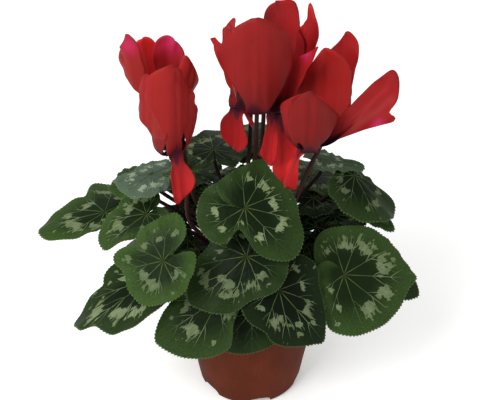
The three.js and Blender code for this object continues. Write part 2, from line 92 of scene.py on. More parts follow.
# A leaf stalk's radius at shares of the way from its foot to the blade.
LEAF_STALK_RADII = ((0, 2.1), (0.08, 1.65), (0.6, 1.35), (1, 1.25))
YOUNG_STALK_RADIUS = 1.1

# Leaves
CAD_BLADE_THICKNESS = 0.9
BLADE_THICKNESS = 0.5
SINUS_ANGLE = 176
# The waves and the frill of the rim, the flat strip along the midrib, and the relief of the veins.
EDGE_WAVES = 5
FRILL_HEIGHT = 0.7
FRILL_WAVES = 13
MIDRIB_FLAT = 5
SWELL_HEIGHT = 0.35
VEIN_DIP = 0.2
VEIN_SIDES = 5
VEIN_STEPS = 8
BLADE_RINGS = 20
# The teeth: where they start, as a share of the way to the rim, how far apart they stand, the least
# and most that a blade has, and how deep and how high they are.
RIM_START = 0.965
TOOTH_SPACING = 2.4
TOOTH_COUNT = (50, 170)
TOOTH_NOTCH = 0.72
TOOTH_RISE = 0.48
# The veins: degrees of the main ones from the tip, their radius from the stalk outwards and how far
# they bow, the same for their forks, and the angle and length of a fork, as a share of the blade's.
MAIN_VEINS = (0, 35, -35, 70, -70, 107, -107, 145, -145)
VEIN_RADII = (0.3, 0.16)
VEIN_BOW = 5
FORK_RADII = (0.2, 0.12)
FORK_BOW = 22
FORK_ANGLE = (30, 40)
FORK_LENGTH = (0.26, 0.36)
# A usual blade, for the scale of its patterns: half its rim, and from the stalk to the rim.
HALF_RIM = 72
BLADE_REACH = 40

# Flowers
PETAL_THICKNESS = 0.5
PETAL_ROWS = 12
PETAL_COLUMNS = 84
# How soon a petal turns up from the mouth, how many degrees it leans, and the heights of its frill,
# its keel and its ribs.
PETAL_TURN = 9
PETAL_LEAN = 18
PETAL_FRILL = 0.9
PETAL_KEEL = 0.5
PETAL_RIB = 0.25
# How far an outline may run past its petal's length, as a share of it.
PETAL_OVERRUN = 1.3
# A usual petal, for the scale of its patterns: from its midline to its edge, and its length.
HALF_PETAL = 14.4
PETAL_REACH = 48
THROAT_RADIUS = 6
THROAT_LENGTH = 8
THROAT_WALL = 1.2
HOOK_RADIUS = 4.6
HOOK_RISE = 5
# The calyx as (radius, height) over the throat's top, and the line and thickness of each sepal.
CALYX = ((0, -0.3), (3.2, -0.3), (3.0, 0.8), (2.2, 2.6), (0, 3.4))
SEPAL_SPINE = ((1.5, 2.4), (3.0, 1.2), (4.2, -0.6), (4.9, -2.6))
SEPAL_RADII = (1.0, 1.1, 1.1, 1.1, 1.0, 0.95, 0.85, 0.6, 0.4, 0.2)

# Each leaf: where its stalk meets the blade, the heading of its midrib, its pitch and roll, its
# length, and its looks. "silver" is the strength of its marbling, and above 1 it also lays a painted
# sheen all over. The green number says how light its green is: partly the leaf's own tone and partly
# painted shade, set low on leaves that lie in shade. "seed" picks the pattern. The rest is in
# LEAF_DEFAULTS where a leaf doesn't state it.
LEAVES = {
    "leaf_left_far": dict(at=(-100, 4, 143), heading=195, pitch=0, roll=-5, length=45, width=0.9,
                          silver=0.75, green=0.95, seed=3),
    "leaf_left_middle": dict(at=(-67, -20, 158), heading=209, pitch=-22, roll=-26, length=40, fold=-14,
                             lobe=0.45, silver=0.7, green=0.95, seed=8),
    "leaf_left_grey": dict(at=(-64, -3, 178), heading=199, pitch=6, roll=-4, length=31, lobe=0.35,
                           silver=1.45, green=0.8, seed=11),
    "leaf_left_behind": dict(at=(-83, 26, 158), heading=200, pitch=-10, roll=-6, length=26,
                             silver=0.2, green=0.9, seed=13),
    "leaf_left_face": dict(at=(-52, -63, 153), heading=178, pitch=-16, roll=-48, length=37,
                           silver=0.5, green=1.0, seed=17),
    "leaf_left_low": dict(at=(-64, -44, 122), heading=195, pitch=-27, roll=-17, length=65, width=0.58,
                          lobe=0.35, silver=0.9, green=0.4, seed=19),
    "leaf_top_left": dict(at=(-25, 24, 181), heading=100, pitch=8, roll=0, length=38,
                          silver=0.8, green=0.35, seed=23),
    "leaf_centre": dict(at=(-3, -46, 180), heading=330, pitch=-35, roll=37, length=45, width=1.06,
                        lap=1, silver=0.95, green=0.56, seed=29),
    "leaf_centre_low": dict(at=(-2, -52, 148), heading=209, pitch=-32, roll=-36, length=50, lobe=0.4,
                            silver=0.55, green=0.35, seed=31),
    "leaf_front_left": dict(at=(-20, -57, 118), heading=195, pitch=-30, roll=-44, length=52, lobe=0.35,
                            width=0.84, silver=0.65, green=0.6, seed=37),
    "leaf_front_middle": dict(at=(1, -54, 105), heading=272, pitch=-58, roll=0, length=31, lobe=0.4,
                              width=1.2, silver=0.0, green=0.3, seed=41),
    "leaf_front_right": dict(at=(18, -60, 128), heading=335, pitch=-42, roll=36, length=50, lobe=0.35,
                             width=0.86, silver=0.6, green=0.1, seed=43),
    "leaf_right_large": dict(at=(61, -40, 124), heading=6, pitch=-8, roll=51, length=56, lobe=0.4,
                             lap=-1, silver=0.7, green=0.8, seed=47),
    "leaf_right_tip": dict(at=(86, -2, 111), heading=337, pitch=-22, roll=18, length=42, lobe=0.4,
                           silver=0.3, green=0.4, seed=53),
    "leaf_right_shaded": dict(at=(46, -3, 136), heading=32, pitch=20, roll=0, length=28, lobe=0.3,
                              silver=0.1, green=0.0, seed=59),
    "leaf_right_folded": dict(at=(70, 8, 170), heading=299, pitch=-24, roll=-13, length=36, lobe=0.5,
                              fold=-16, width=1.15, silver=0.5, green=0.45, seed=61),
    "leaf_right_under": dict(at=(82, 12, 142), heading=333, pitch=-4, roll=3, length=25, lobe=0.3,
                             silver=0.2, green=0.8, seed=67),
    "leaf_right_top": dict(at=(50, 18, 177), heading=354, pitch=2, roll=3, length=30, lobe=0.4,
                           silver=1.2, green=0.7, seed=71),
    "leaf_back_top": dict(at=(4, 44, 176), heading=84, pitch=6, roll=0, length=38, lobe=0.45,
                          silver=0.5, green=0.5, seed=73),
    "leaf_left_inner": dict(at=(-16, 2, 150), heading=256, pitch=-30, roll=-6, length=28, lobe=0.4,
                            width=0.85, root=238, silver=0.4, green=0.3, seed=79),
    "leaf_left_shaded": dict(at=(-43, -4, 125), heading=204, pitch=6, roll=0, length=25, lobe=0.25,
                             droop=4, silver=0.4, green=0.3, seed=83),
}
# The width against a plain heart, how far the tip droops and the halves fold in degrees, how far the
# lobes reach, the height and start of the waves of the rim, and which lobe laps over the other.
LEAF_DEFAULTS = dict(width=1, droop=24, fold=-5, lobe=0.6, wave=2, phase=40, lap=0)

# The rim of a blade that isn't a plain heart, as the points of a smooth line: degrees from the tip,
# and millimetres from the stalk. Where the angles pass half a turn, the two lobes lap.
LEAF_RIMS = {
    "leaf_left_far": (
        (-176, 13), (-150, 30), (-125, 39), (-100, 45), (-85, 45), (-70, 32), (-60, 30), (-40, 37),
        (-20, 42), (0, 47), (20, 42), (35, 32), (48, 27), (62, 21), (80, 17), (110, 16), (145, 17),
        (176, 10)),
    "leaf_left_middle": (
        (-176, 9), (-145, 18), (-100, 23), (-60, 22), (-40, 28), (-20, 35), (-5, 37), (5, 35),
        (12, 25), (25, 19), (40, 15), (70, 15), (100, 17), (145, 15), (176, 9)),
    "leaf_left_grey": (
        (-176, 7), (-150, 20), (-125, 23), (-100, 18), (-70, 14), (-40, 13), (-20, 18), (-5, 25), (30, 25),
        (75, 25), (95, 20), (150, 11), (176, 5)),
    "leaf_left_low": (
        (-176, 11), (-145, 25), (-110, 40), (-95, 47), (-60, 55), (-46, 49), (-37, 59), (-26, 66), (-20, 73),
        (-12, 67), (-4, 62), (2, 53), (12, 48), (38, 48), (50, 45), (70, 41), (86, 36), (110, 33),
        (145, 23), (176, 11)),
    "leaf_centre_low": (
        (-176, 10), (-145, 20), (-95, 27), (-60, 25), (-40, 32), (-20, 42), (-5, 48), (5, 45),
        (30, 37), (55, 27), (90, 28), (115, 27), (140, 24), (176, 10)),
    "leaf_front_left": (
        (-176, 9), (-145, 19), (-90, 32), (-48, 34), (-32, 35), (-20, 42), (-10, 49), (0, 54),
        (10, 52), (35, 46), (70, 38), (78, 33), (88, 23), (105, 18), (140, 16), (176, 9)),
    "leaf_front_middle": (
        (-176, 6), (-145, 14), (-95, 23), (-50, 28), (-25, 32), (0, 29), (25, 26), (60, 23),
        (95, 21), (145, 13), (176, 6)),
    "leaf_front_right": (
        (-176, 9), (-145, 19), (-100, 31), (-67, 31), (-54, 36), (-28, 40), (-10, 44), (0, 48),
        (12, 41), (35, 34), (56, 31), (80, 34), (95, 32), (145, 19), (176, 9)),
    "leaf_right_folded": (
        (-176, 9), (-160, 12), (-120, 12), (-95, 17), (-60, 24), (-30, 29), (0, 36), (20, 37),
        (45, 37), (55, 33), (65, 21), (80, 14), (120, 9), (140, 9), (160, 11), (176, 9)),
    "leaf_right_top": (
        (-176, 6), (-145, 11), (-90, 12), (-45, 16), (-25, 20), (-10, 27), (0, 28), (8, 20),
        (20, 14), (60, 11), (80, 12), (100, 15), (120, 17), (145, 16), (162, 15), (176, 9)),
    "leaf_right_under": (
        (-176, 4), (-145, 8), (-90, 14), (-50, 20), (-30, 22), (-18, 25), (-10, 21), (0, 17),
        (20, 15), (70, 14), (95, 14), (145, 8), (176, 4)),
    "leaf_top_left": (
        (-176, 11), (-145, 21), (-95, 19), (-75, 18), (-45, 22), (-30, 26), (-18, 33), (-5, 34),
        (13, 27), (35, 26), (100, 26), (145, 23), (176, 11)),
    "leaf_left_behind": (
        (-176, 7), (-145, 14), (-90, 14), (-45, 13), (-20, 15), (0, 18), (20, 18), (60, 18), (110, 18),
        (145, 14), (176, 7)),
    "leaf_right_tip": (
        (-176, 7), (-145, 16), (-90, 28), (-60, 31), (-30, 34), (-12, 42), (-2, 44), (14, 32), (35, 25),
        (60, 21), (90, 20), (145, 15), (176, 7)),
    "leaf_left_face": (
        (-152, 4), (-145, 18), (-130, 26), (-112, 30), (-90, 26), (-55, 24), (-40, 22), (-32, 27),
        (-20, 36), (-12, 36), (0, 29), (15, 28), (30, 30), (50, 30), (75, 26), (110, 23), (135, 20),
        (170, 20), (188, 18), (196, 4)),
    "leaf_right_large": (
        (-235, 4), (-225, 11), (-205, 17), (-180, 19), (-155, 18), (-130, 22), (-115, 27), (-103, 36),
        (-80, 40), (-55, 42), (-35, 46), (-10, 50), (0, 56), (8, 49), (25, 43), (55, 38), (88, 32),
        (120, 31), (150, 23), (170, 15), (180, 4)),
    "leaf_centre": (
        (-196, 4), (-185, 18), (-170, 25), (-140, 28), (-105, 28), (-75, 24), (-64, 14), (-50, 14),
        (-38, 19), (-30, 26), (-15, 36), (0, 44), (15, 42), (35, 34), (60, 30), (80, 26), (100, 27),
        (116, 31), (135, 26), (160, 23), (185, 22), (200, 16), (225, 3)),
}

# Marbling: most gaps between two main veins hold a silver patch, and some a smaller one further out.
# Each as its chance, its place and its size as shares of the way from the stalk to the rim, and how
# many degrees it strays from the middle of the gap.
MARBLING = (
    (0.88, (0.48, 0.64), (0.045, 0.1), 6),
    (0.4, (0.70, 0.82), (0.02, 0.032), 13),
)

# Young leaves that stand low in the middle of the plant and close the gaps between the large ones:
# where the stalk meets the blade, the heading, and the length.
YOUNG_LEAVES = (
    ((-50, 20, 128), 150, 24), ((-38, 25, 142), 120, 22), ((-36, 5, 112), 190, 24),
    ((-52, -5, 100), 195, 24), ((-27, -10, 118), 215, 22), ((-22, 15, 150), 130, 22),
    ((-6, 20, 158), 80, 22), ((44, 12, 150), 10, 28), ((58, 4, 141), 340, 24),
    ((40, 0, 118), 350, 26), ((30, -5, 108), 320, 22), ((26, 0, 128), 40, 20),
)
YOUNG_PITCH = 12

# The leaves of the plant's back, in three tiers at equal steps round the crown.
BACK_COUNT = 8
BACK_FIRST_ANGLE = 36
BACK_STEP = 17
BACK_LIFT = 7
BACK_TIERS = (
    dict(radius=54, height=156, pitch=0, length=38, lobe=0.4),
    dict(radius=66, height=108, pitch=-26, length=48, lobe=0.35),
    dict(radius=60, height=134, pitch=-12, length=46, lobe=0.4),
)

# Each flower: the centre of its mouth, the side on which its stalk passes, the stalk's foot and the
# point it goes through, and its petals as (azimuth, rise at the mouth, rise at the tip, length,
# width, twist, cup). Angles are in degrees, and the cup is the hollow of a petal in millimetres.
FLOWERS = {
    "flower_left_back": dict(mouth=(-57, 16, 207), stalk_side=-60, root=150, via=(-36, 4, 150), petals=(
        (190, -40, 84, 59, 24, 10, 5),
        (125, -40, 84, 57, 26, 0, 5),
        (60, -40, 87, 56, 28, 0, 5),
        (-15, -40, 80, 48, 24, -70, 5),
        (-80, -40, 92, 50, 28, 0, 4))),
    "flower_left_front": dict(mouth=(-49, -26, 211), stalk_side=20, root=205, via=(-40, -16, 150), petals=(
        (-150, -40, 97, 48, 20, 20, 6),
        (-65, -40, 86, 58, 30, 0, 6),
        (100, -40, 90, 46, 24, 0, 5),
        (-10, -40, 80, 42, 22, -45, 5),
        (-44, -60, -88, 40, 16, 0, 3))),
    "flower_middle_left": dict(mouth=(-8, 20, 219), stalk_side=-20, root=100, via=(-3, 14, 150), petals=(
        (210, -40, 88, 46, 22, -20, 5),
        (105, -40, 72, 52, 20, 20, 5),
        (80, -40, 88, 50, 18, -70, 5),
        (-95, -60, -85, 36, 18, 0, 4),
        (-30, -60, -60, 20, 10, 0, 3))),
    "flower_middle": dict(mouth=(6, -14, 231), stalk_side=100, root=260, via=(3, -8, 150), petals=(
        (-105, -40, 88, 64, 40, 0, 6),
        (-4, -40, 80, 58, 32, 45, 7),
        (62, -40, 88, 62, 32, 45, 5),
        (165, -40, 88, 56, 28, 0, 5),
        (80, -40, 90, 60, 28, 0, 5))),
    "flower_middle_right": dict(mouth=(18, 9, 219), stalk_side=180, root=50, via=(9, 8, 150), petals=(
        (55, -40, 78, 70, 24, -20, 6),
        (80, -40, 82, 60, 26, 0, 5),
        (150, -40, 80, 40, 18, 0, 5),
        (-70, -60, -84, 52, 19, 0, 4),
        (-125, -60, -84, 36, 12, 0, 3))),
    "flower_right_back": dict(mouth=(51, 4, 208), stalk_side=180, root=0, via=(28, 8, 170), petals=(
        (-120, -40, 91, 58, 40, 0, 5),
        (70, -40, 85, 64, 24, 0, 5),
        (110, -40, 84, 50, 22, 0, 5),
        (170, -40, 92, 46, 20, 0, 5),
        (26, -40, 88, 42, 20, 0, 5))),
    "flower_right_front": dict(mouth=(35, -38, 218), stalk_side=40, root=310, via=(22, -25, 150), petals=(
        (-100, -40, 92, 40, 32, 0, 7),
        (0, 0, 50, 52, 25, 60, 5),
        (80, -40, 90, 36, 20, 0, 5),
        (180, -40, 88, 38, 20, 45, 5),
        (-165, -60, -70, 28, 14, 0, 3))),
}

# Petals cut to their own outline, laid flat, as the points of a smooth line: millimetres along the
# petal and across it, from the left side of its foot round the tip to the right side.
PETAL_OUTLINES = {
    ("flower_middle", 0): (
        (12, 10), (28, 20), (42, 24), (53, 21), (60, 15), (65, 9), (68, 3), (66, -3), (63, -8), (60, -11),
        (63, -14), (56, -15), (48, -18), (44, -17), (32, -13), (18, -5)),
    ("flower_middle", 1): (
        (4, 8), (17, 11), (27, 12), (35, 9), (38, 3), (44, -5), (52, -13), (46, -12), (40, -11), (30, -8),
        (12, -5)),
    ("flower_middle", 2): (
        (12, 6), (22, 8), (38, 9), (54, 8), (61, 8), (65, 1), (65, -5), (65, -11), (61, -14), (54, -15),
        (32, -12), (8, -5)),
    ("flower_middle", 4): (
        (10, 8), (26, 12), (42, 12), (50, 7), (53, 0), (50, -7), (42, -12), (26, -12), (10, -8)),
    ("flower_middle_left", 0): (
        (0, 9), (12, 14), (24, 15), (36, 14), (46, 10), (50, 4), (51, 0), (49, -2), (45, 4), (34, 6), (24, 8),
        (12, 11), (0, 5)),
    ("flower_middle_left", 1): (
        (0, -1), (10, -1), (20, 3), (32, 6), (42, 7), (50, 1), (42, -5), (31, -7), (15, -6), (0, -6)),
    ("flower_middle_left", 2): ((18, 7), (34, 10), (46, 11), (54, 8), (44, 5), (27, -1)),
    ("flower_middle_left", 3): ((8, 4), (16, 6), (23, 9), (31, 3), (31, -2), (24, -8), (16, -10), (9, -9)),
    ("flower_middle_left", 4): ((4, 1), (8, 2), (13, 0), (16, -3), (12, -6), (6, -6)),
    ("flower_middle_right", 0): (
        (12, 5), (30, 6), (50, 8), (57, 1), (64, -1), (71, -1), (65, -7), (57, -14), (46, -12), (30, -8),
        (16, -5)),
    ("flower_middle_right", 3): (
        (9, 5), (16, 8), (24, 14), (30, 10), (44, 9), (54, 7), (50, 0), (41, -7), (28, -7), (15, -6)),
    ("flower_middle_right", 4): ((12, 11), (23, 12), (31, 8), (37, 1), (32, -5), (26, -6), (11, -4)),
    ("flower_right_back", 0): (
        (15, 8), (22, 13), (32, 17), (48, 16), (58, 12), (64, 4), (64, -1), (52, -9), (38, -18),
        (29, -22), (26, -12), (16, 2)),
    ("flower_right_back", 1): (
        (20, 6), (37, 10), (49, 10), (57, 3), (64, -2), (58, -9), (48, -10), (40, -9), (28, -8), (16, -8)),
    ("flower_right_back", 4): ((8, 6), (18, 9), (30, 9), (38, 6), (40, 3), (35, 1), (24, 0), (12, -1)),
    ("flower_right_front", 0): (
        (9, 6), (15, 13), (24, 18), (32, 12), (40, 3), (44, -2), (38, -9), (27, -12), (17, -9), (10, -3)),
    ("flower_right_front", 1): (
        (0, 5), (11, 6), (21, 8), (36, 8), (50, 8), (60, 6), (59, -1), (51, -8), (43, -10), (44, -14),
        (41, -15), (32, -11), (20, -5), (9, -1), (0, -2)),
    ("flower_right_front", 2): ((8, 6), (18, 9), (25, 8), (29, 3), (29, -3), (25, -8), (18, -9), (8, -6)),
    ("flower_right_front", 3): ((10, 8), (20, 11), (32, 10), (37, 7), (33, -1), (26, -8), (14, -14), (9, -9)),
    ("flower_left_back", 0): (
        (0, 9), (12, 14), (32, 13), (54, 14), (69, 9), (62, 3), (52, -5), (45, -6), (40, -1), (36, 5),
        (28, 10), (20, 7), (11, 3), (0, 2)),
    ("flower_left_back", 1): (
        (18, -3), (33, 2), (44, 9), (50, 10), (57, -2), (53, -9), (42, -9), (28, -9)),
    ("flower_left_back", 2): ((21, 11), (36, 13), (52, 13), (58, 5), (50, -5), (40, -6), (26, -1)),
    ("flower_left_back", 3): (
        (10, 6), (20, 9), (31, 11), (44, 4), (54, -4), (42, -8), (28, -11), (14, -11)),
    ("flower_left_back", 4): (
        (8, 8), (20, 10), (34, 11), (42, 7), (46, 2), (43, -4), (34, -7), (20, -6), (10, -4)),
    ("flower_left_front", 0): (
        (0, 9), (6, 12), (14, 15), (22, 18), (30, 16), (38, 11), (46, 6), (53, -1), (44, -6), (36, -5),
        (28, -8), (25, -7), (20, 2), (14, 6), (6, 6), (0, 5)),
    ("flower_left_front", 1): (
        (13, 0), (26, 8), (36, 13), (48, 10), (61, 4), (66, -3), (60, -11), (50, -13), (40, -12), (30, -9),
        (20, -7), (12, -6)),
    ("flower_left_front", 3): ((4, 5), (14, 7), (22, 8), (34, 0), (46, -6), (35, -8), (22, -9), (10, -6)),
    ("flower_left_front", 4): ((8, 4), (16, 8), (23, 9), (32, 5), (37, -3), (24, -5), (15, -5), (9, -3)),
}
# Where a petal shows rose, partly its own blush and partly painted sheen: millimetres along and
# across, and the size of the patch.
PETAL_BLUSH_AND_SHEEN = {
    ("flower_middle", 1): (44, -4, 5),
    ("flower_left_back", 0): (62, 8, 6),
    ("flower_left_back", 2): (54, 2, 9),
    ("flower_right_front", 1): (34, -11, 4),
}
# Light and shade painted into a petal's colour: 1 paints it brighter by the step that follows,
# and below 0 paints it darker, as painted shade. A petal that has only just opened hangs, and has
# 1 where it isn't named here.
PAINTED_LIGHT_STEP = 0.75
PETAL_PAINTED_LIGHT = {
    ("flower_left_back", 1): 1.6,
    ("flower_left_back", 3): 0.3,
    ("flower_middle_left", 0): 0.3,
    ("flower_middle_right", 0): 0.45,
    ("flower_right_back", 0): 0.5,
    ("flower_right_front", 0): -0.35,
    ("flower_right_front", 1): -0.25,
    ("flower_left_front", 1): 0.12,
    ("flower_left_front", 4): 0.55,
    ("flower_middle", 0): -0.1,
    ("flower_middle_right", 3): 1.25,
}
# How far the left and right edges of a petal curl in towards the flower's middle, in millimetres.
PETAL_CURL = {
    ("flower_left_front", 0): (0, -8),
    ("flower_left_front", 1): (9, 0),
    ("flower_middle", 0): (2, 2),
}
# Where the foot of a petal starts and how it widens, for an outline that doesn't start at 0 itself.
PETAL_FOOT = ((0, 4.2), (4, 5.0))
# Half of a plain petal's outline, as shares of its length and width.
PLAIN_PETAL = (
    (0.08, 0.3), (0.25, 0.56), (0.45, 0.86), (0.62, 1), (0.76, 0.92), (0.88, 0.62), (0.95, 0.34), (1, 0.04))


# Camera and light

def set_camera():
    """Stands in front of the plant and above it, where the pot's ellipses fit the photograph."""
    lens = bpy.data.cameras.new("camera")
    lens.lens = 50
    lens.sensor_width = 36
    lens.clip_start = 0.01
    camera = bpy.data.objects.new("camera", lens)
    camera.location = [MM * c for c in CAMERA_AT]
    camera.rotation_euler = (math.radians(90 - CAMERA_TILT), 0, 0)
    bpy.context.scene.collection.objects.link(camera)
    bpy.context.scene.camera = camera


def set_light():
    """A large soft lamp over the left shoulder, a weaker one from the right, one behind, and a
    white room. Places and sizes are in metres, power in watts."""
    for name, place, aim, size, power in (
        ("key_lamp", (-0.65, -0.65, 0.9), (0, 0, 0.16), 0.6, 12),
        ("fill_lamp", (0.9, -0.5, 0.5), (0, 0, 0.16), 0.8, 1.6),
        ("back_lamp", (0.2, 0.9, 0.9), (0, 0, 0.2), 0.8, 3),
    ):
        lamp = bpy.data.lights.new(name, "AREA")
        lamp.size = size
        lamp.energy = power
        holder = bpy.data.objects.new(name, lamp)
        holder.location = place
        holder.rotation_euler = (Vector(aim) - Vector(place)).to_track_quat("-Z", "Y").to_euler()
        bpy.context.scene.collection.objects.link(holder)
    world = bpy.data.worlds.new("white_room")
    bpy.context.scene.world = world
    world.use_nodes = True
    sky = world.node_tree.nodes["Background"]
    sky.inputs["Color"].default_value = linear("#ffffff")
    sky.inputs["Strength"].default_value = 0.6


# Finishes

def linear(hex_colour):
    """An sRGB hex colour as linear red, green and blue, with full alpha."""
    channels = [int(hex_colour[i:i + 2], 16) / 255 for i in (1, 3, 5)]
    return (*[c / 12.92 if c <= 0.04045 else ((c + 0.055) / 1.055) ** 2.4 for c in channels], 1.0)


def add_node(tree, kind, inputs=(), stops=(), **settings):
    """Adds one shader node with its settings. Its inputs come in order or by name, and each is a
    number, a hex colour, a socket, or a node, meaning its first output."""
    node = tree.nodes.new("ShaderNode" + kind)
    for name, value in settings.items():
        setattr(node, name, value)
    for key, value in inputs.items() if isinstance(inputs, dict) else enumerate(inputs):
        if isinstance(value, bpy.types.Node):
            value = value.outputs[0]
        if isinstance(value, bpy.types.NodeSocket):
            tree.links.new(value, node.inputs[key])
        else:
            node.inputs[key].default_value = linear(value) if isinstance(value, str) else value
    for _ in stops[2:]:
        node.color_ramp.elements.new(0.5)
    for number, (place, colour) in enumerate(stops):
        node.color_ramp.elements[number].position = place
        node.color_ramp.elements[number].color = linear(colour)
    return node


def new_finish(name, roughness, specular, ior=1.45):
    """A named material with its shader, whose plain numbers sit on the shader's own sockets."""
    finish = bpy.data.materials.new(name)
    finish.use_nodes = True
    tree = finish.node_tree
    tree.nodes.clear()
    shader = add_node(tree, "BsdfPrincipled", {
        "Roughness": roughness, "IOR": ior, "Specular IOR Level": specular})
    add_node(tree, "OutputMaterial", {"Surface": shader})
    return finish, tree, shader


def laid_on(finish, shader, colour, relief=None):
    """A material with its colour on its shader, and its relief where it has one."""
    finish.node_tree.links.new(colour.outputs[0], shader.inputs["Base Color"])
    if relief is not None:
        finish.node_tree.links.new(relief.outputs[0], shader.inputs["Normal"])
    return finish


def carried(tree, name):
    """What the points of a piece carry under a name, as a vector and then as its three numbers."""
    vector = add_node(tree, "Attribute", attribute_name=name).outputs["Vector"]
    return (vector, *add_node(tree, "SeparateXYZ", (vector,)).outputs)


def streaks(tree, place, scale, detail):
    """An uneven pattern with a scale of its own along each axis of a place."""
    scaled = add_node(tree, "VectorMath", (place, scale), operation="MULTIPLY")
    return add_node(tree, "TexNoise", {"Vector": scaled, "Scale": 1, "Detail": detail})


def leaf_upper():
    """Cyclamen leaf, upper face: a living blade under a thin wax. Deep green, lighter towards the
    edge, with a broken ring of silver patches whose outer side runs out in fingers."""
    finish, tree, shader = new_finish("leaf_waxed_upper_face", 0.48, 0.06)
    grid, _, share, _ = carried(tree, "grain")
    _, nearness, green, silver = carried(tree, "tone")
    # Fingers 1.6 mm wide and 7 mm long, a fringe of 0.8 mm, and lumps 5 mm across. The third number
    # of a scale sets the patterns of two leaves apart.
    fingers = streaks(tree, grid, (HALF_RIM / 1.6, BLADE_REACH / 7, 3), 2)
    fringe = streaks(tree, grid, (HALF_RIM / 0.9, BLADE_REACH / 0.8, 5), 1)
    lumps = streaks(tree, grid, (HALF_RIM / 5, BLADE_REACH / 5, 7), 0)
    # A patch is smooth on the side of the stalk and runs out in fingers on the side of the rim.
    outer = add_node(tree, "MapRange", (share, 0.45, 0.68, 0.5, 2.1))
    swing = add_node(tree, "Math", (fingers, 0.5), operation="SUBTRACT")
    ragged = add_node(tree, "Math", (nearness, 0.75), operation="ADD")
    for pattern, strength in ((swing, outer), (fringe, 0.45), (lumps, 1.3)):
        ragged = add_node(tree, "Math", (pattern, strength, ragged), operation="MULTIPLY_ADD")
    ring = add_node(tree, "MapRange", (ragged, 2.2, 2.3), interpolation_type="SMOOTHSTEP")
    marbling = add_node(tree, "Math", (ring, silver), operation="MULTIPLY")
    # A leaf whose silver passes 1 has a painted sheen all over: a blue-grey reflection of the bright room
    # on its wax, laid over body and patches alike.
    bloom = add_node(tree, "Math", (silver, 1), operation="SUBTRACT")
    bloom = add_node(tree, "Math", (bloom, 0), operation="MAXIMUM")

    # The body is dark near the stalk and lighter towards the rim, and dark all over where the green number is
    # low: partly the leaf's own tone, partly painted shade.
    deep = add_node(tree, "MixRGB", (green, "#080f07", "#15230c"))
    bright = add_node(tree, "MixRGB", (green, "#0f190b", "#344a21"))
    outward = add_node(tree, "MapRange", (share, 0.35, 0.97), interpolation_type="SMOOTHSTEP")
    body = add_node(tree, "MixRGB", (outward, deep, bright))
    mottle = add_node(tree, "MapRange", (fringe, 0.3, 0.7, 0.68, 1.24))
    body = add_node(tree, "VectorMath", {0: body, "Scale": mottle}, operation="SCALE")
    body = add_node(tree, "MixRGB", (bloom, body, "#687b6c"))
    pale = add_node(tree, "MapRange", (fingers, 0.4, 0.6))
    patch = add_node(tree, "MixRGB", (pale, "#7b8868", "#66744d"))
    patch = add_node(tree, "MixRGB", (bloom, patch, "#9aab9c"))
    coloured = add_node(tree, "MixRGB", (marbling, body, patch))
    # The teeth are a thin lighter line round the blade.
    margin = add_node(tree, "MapRange", (share, 0.975, 1, 0, 0.38))
    coloured = add_node(tree, "MixRGB", (margin, coloured, "#607a46"))
    # Between the veins the blade is quilted in low swells, 5 mm across like the lumps.
    swells = add_node(tree, "Bump", {"Height": lumps, "Strength": 0.5, "Distance": 0.9 * MM})
    # Skin cells too fine to show are drawn 0.7 mm across, as the faint pebbling between the veins.
    place = add_node(tree, "TexCoord").outputs["Object"]
    pebble = add_node(tree, "TexNoise", {"Vector": place, "Scale": 0.5 / (0.7 * MM), "Detail": 2})
    relief = add_node(tree, "Bump", {
        "Height": pebble, "Strength": 0.4, "Distance": 0.2 * MM, "Normal": swells})
    return laid_on(finish, shader, coloured, relief)


def leaf_underside():
    """Cyclamen leaf, lower face: matt, pale yellow-green, without the wax, in clouds 6 mm wide and
    10 mm long."""
    finish, tree, shader = new_finish("leaf_matt_underside", 0.6, 0.3)
    cloud = streaks(tree, carried(tree, "grain")[0], (HALF_RIM / 6, BLADE_REACH / 10, 1), 3)
    colour = add_node(tree, "ValToRGB", (cloud,), [(0.3, "#3f5426"), (0.55, "#566c34"), (0.8, "#6c8044")])
    return laid_on(finish, shader, colour)


def leaf_vein():
    """Leaf vein: a cord of pale tissue level with the wax. Yellow-green, darker outwards, and
    silver where it crosses a silver patch."""
    finish, tree, shader = new_finish("leaf_vein_cord", 0.5, 0.12)
    _, _, along, _ = carried(tree, "grain")
    _, nearness, _, silver = carried(tree, "tone")
    colour = add_node(tree, "ValToRGB", (along,), [
        (0.0, "#2c2c16"), (0.12, "#4b5d30"), (0.45, "#374c2a"), (0.95, "#22361a")])
    crossed = add_node(tree, "MapRange", (nearness, 0.02, 0.3))
    crossed = add_node(tree, "Math", (crossed, silver), operation="MULTIPLY")
    return laid_on(finish, shader, add_node(tree, "MixRGB", (crossed, colour, "#7a8865")))


def stalk_skin():
    """Leaf and flower stalk: a fleshy stem under a smooth skin. Brown-red, greener near the leaf,
    with fibres that show as streaks 0.7 mm wide and 8 mm long."""
    finish, tree, shader = new_finish("stalk_fleshy_skin", 0.45, 0.12)
    _, _, along, _ = carried(tree, "grain")
    colour = add_node(tree, "ValToRGB", (along,), [
        (0.0, "#3a201a"), (0.35, "#261310"), (0.8, "#1c0e0b"), (1.0, "#2a2012")])
    place = add_node(tree, "TexCoord").outputs["Object"]
    fibres = streaks(tree, place, (1.4 / MM, 1.4 / MM, 0.12 / MM), 2)
    shade = add_node(tree, "MapRange", (fibres, 0.3, 0.7, 0.75, 1.2))
    colour = add_node(tree, "VectorMath", {0: colour, "Scale": shade}, operation="SCALE")
    return laid_on(finish, shader, colour)


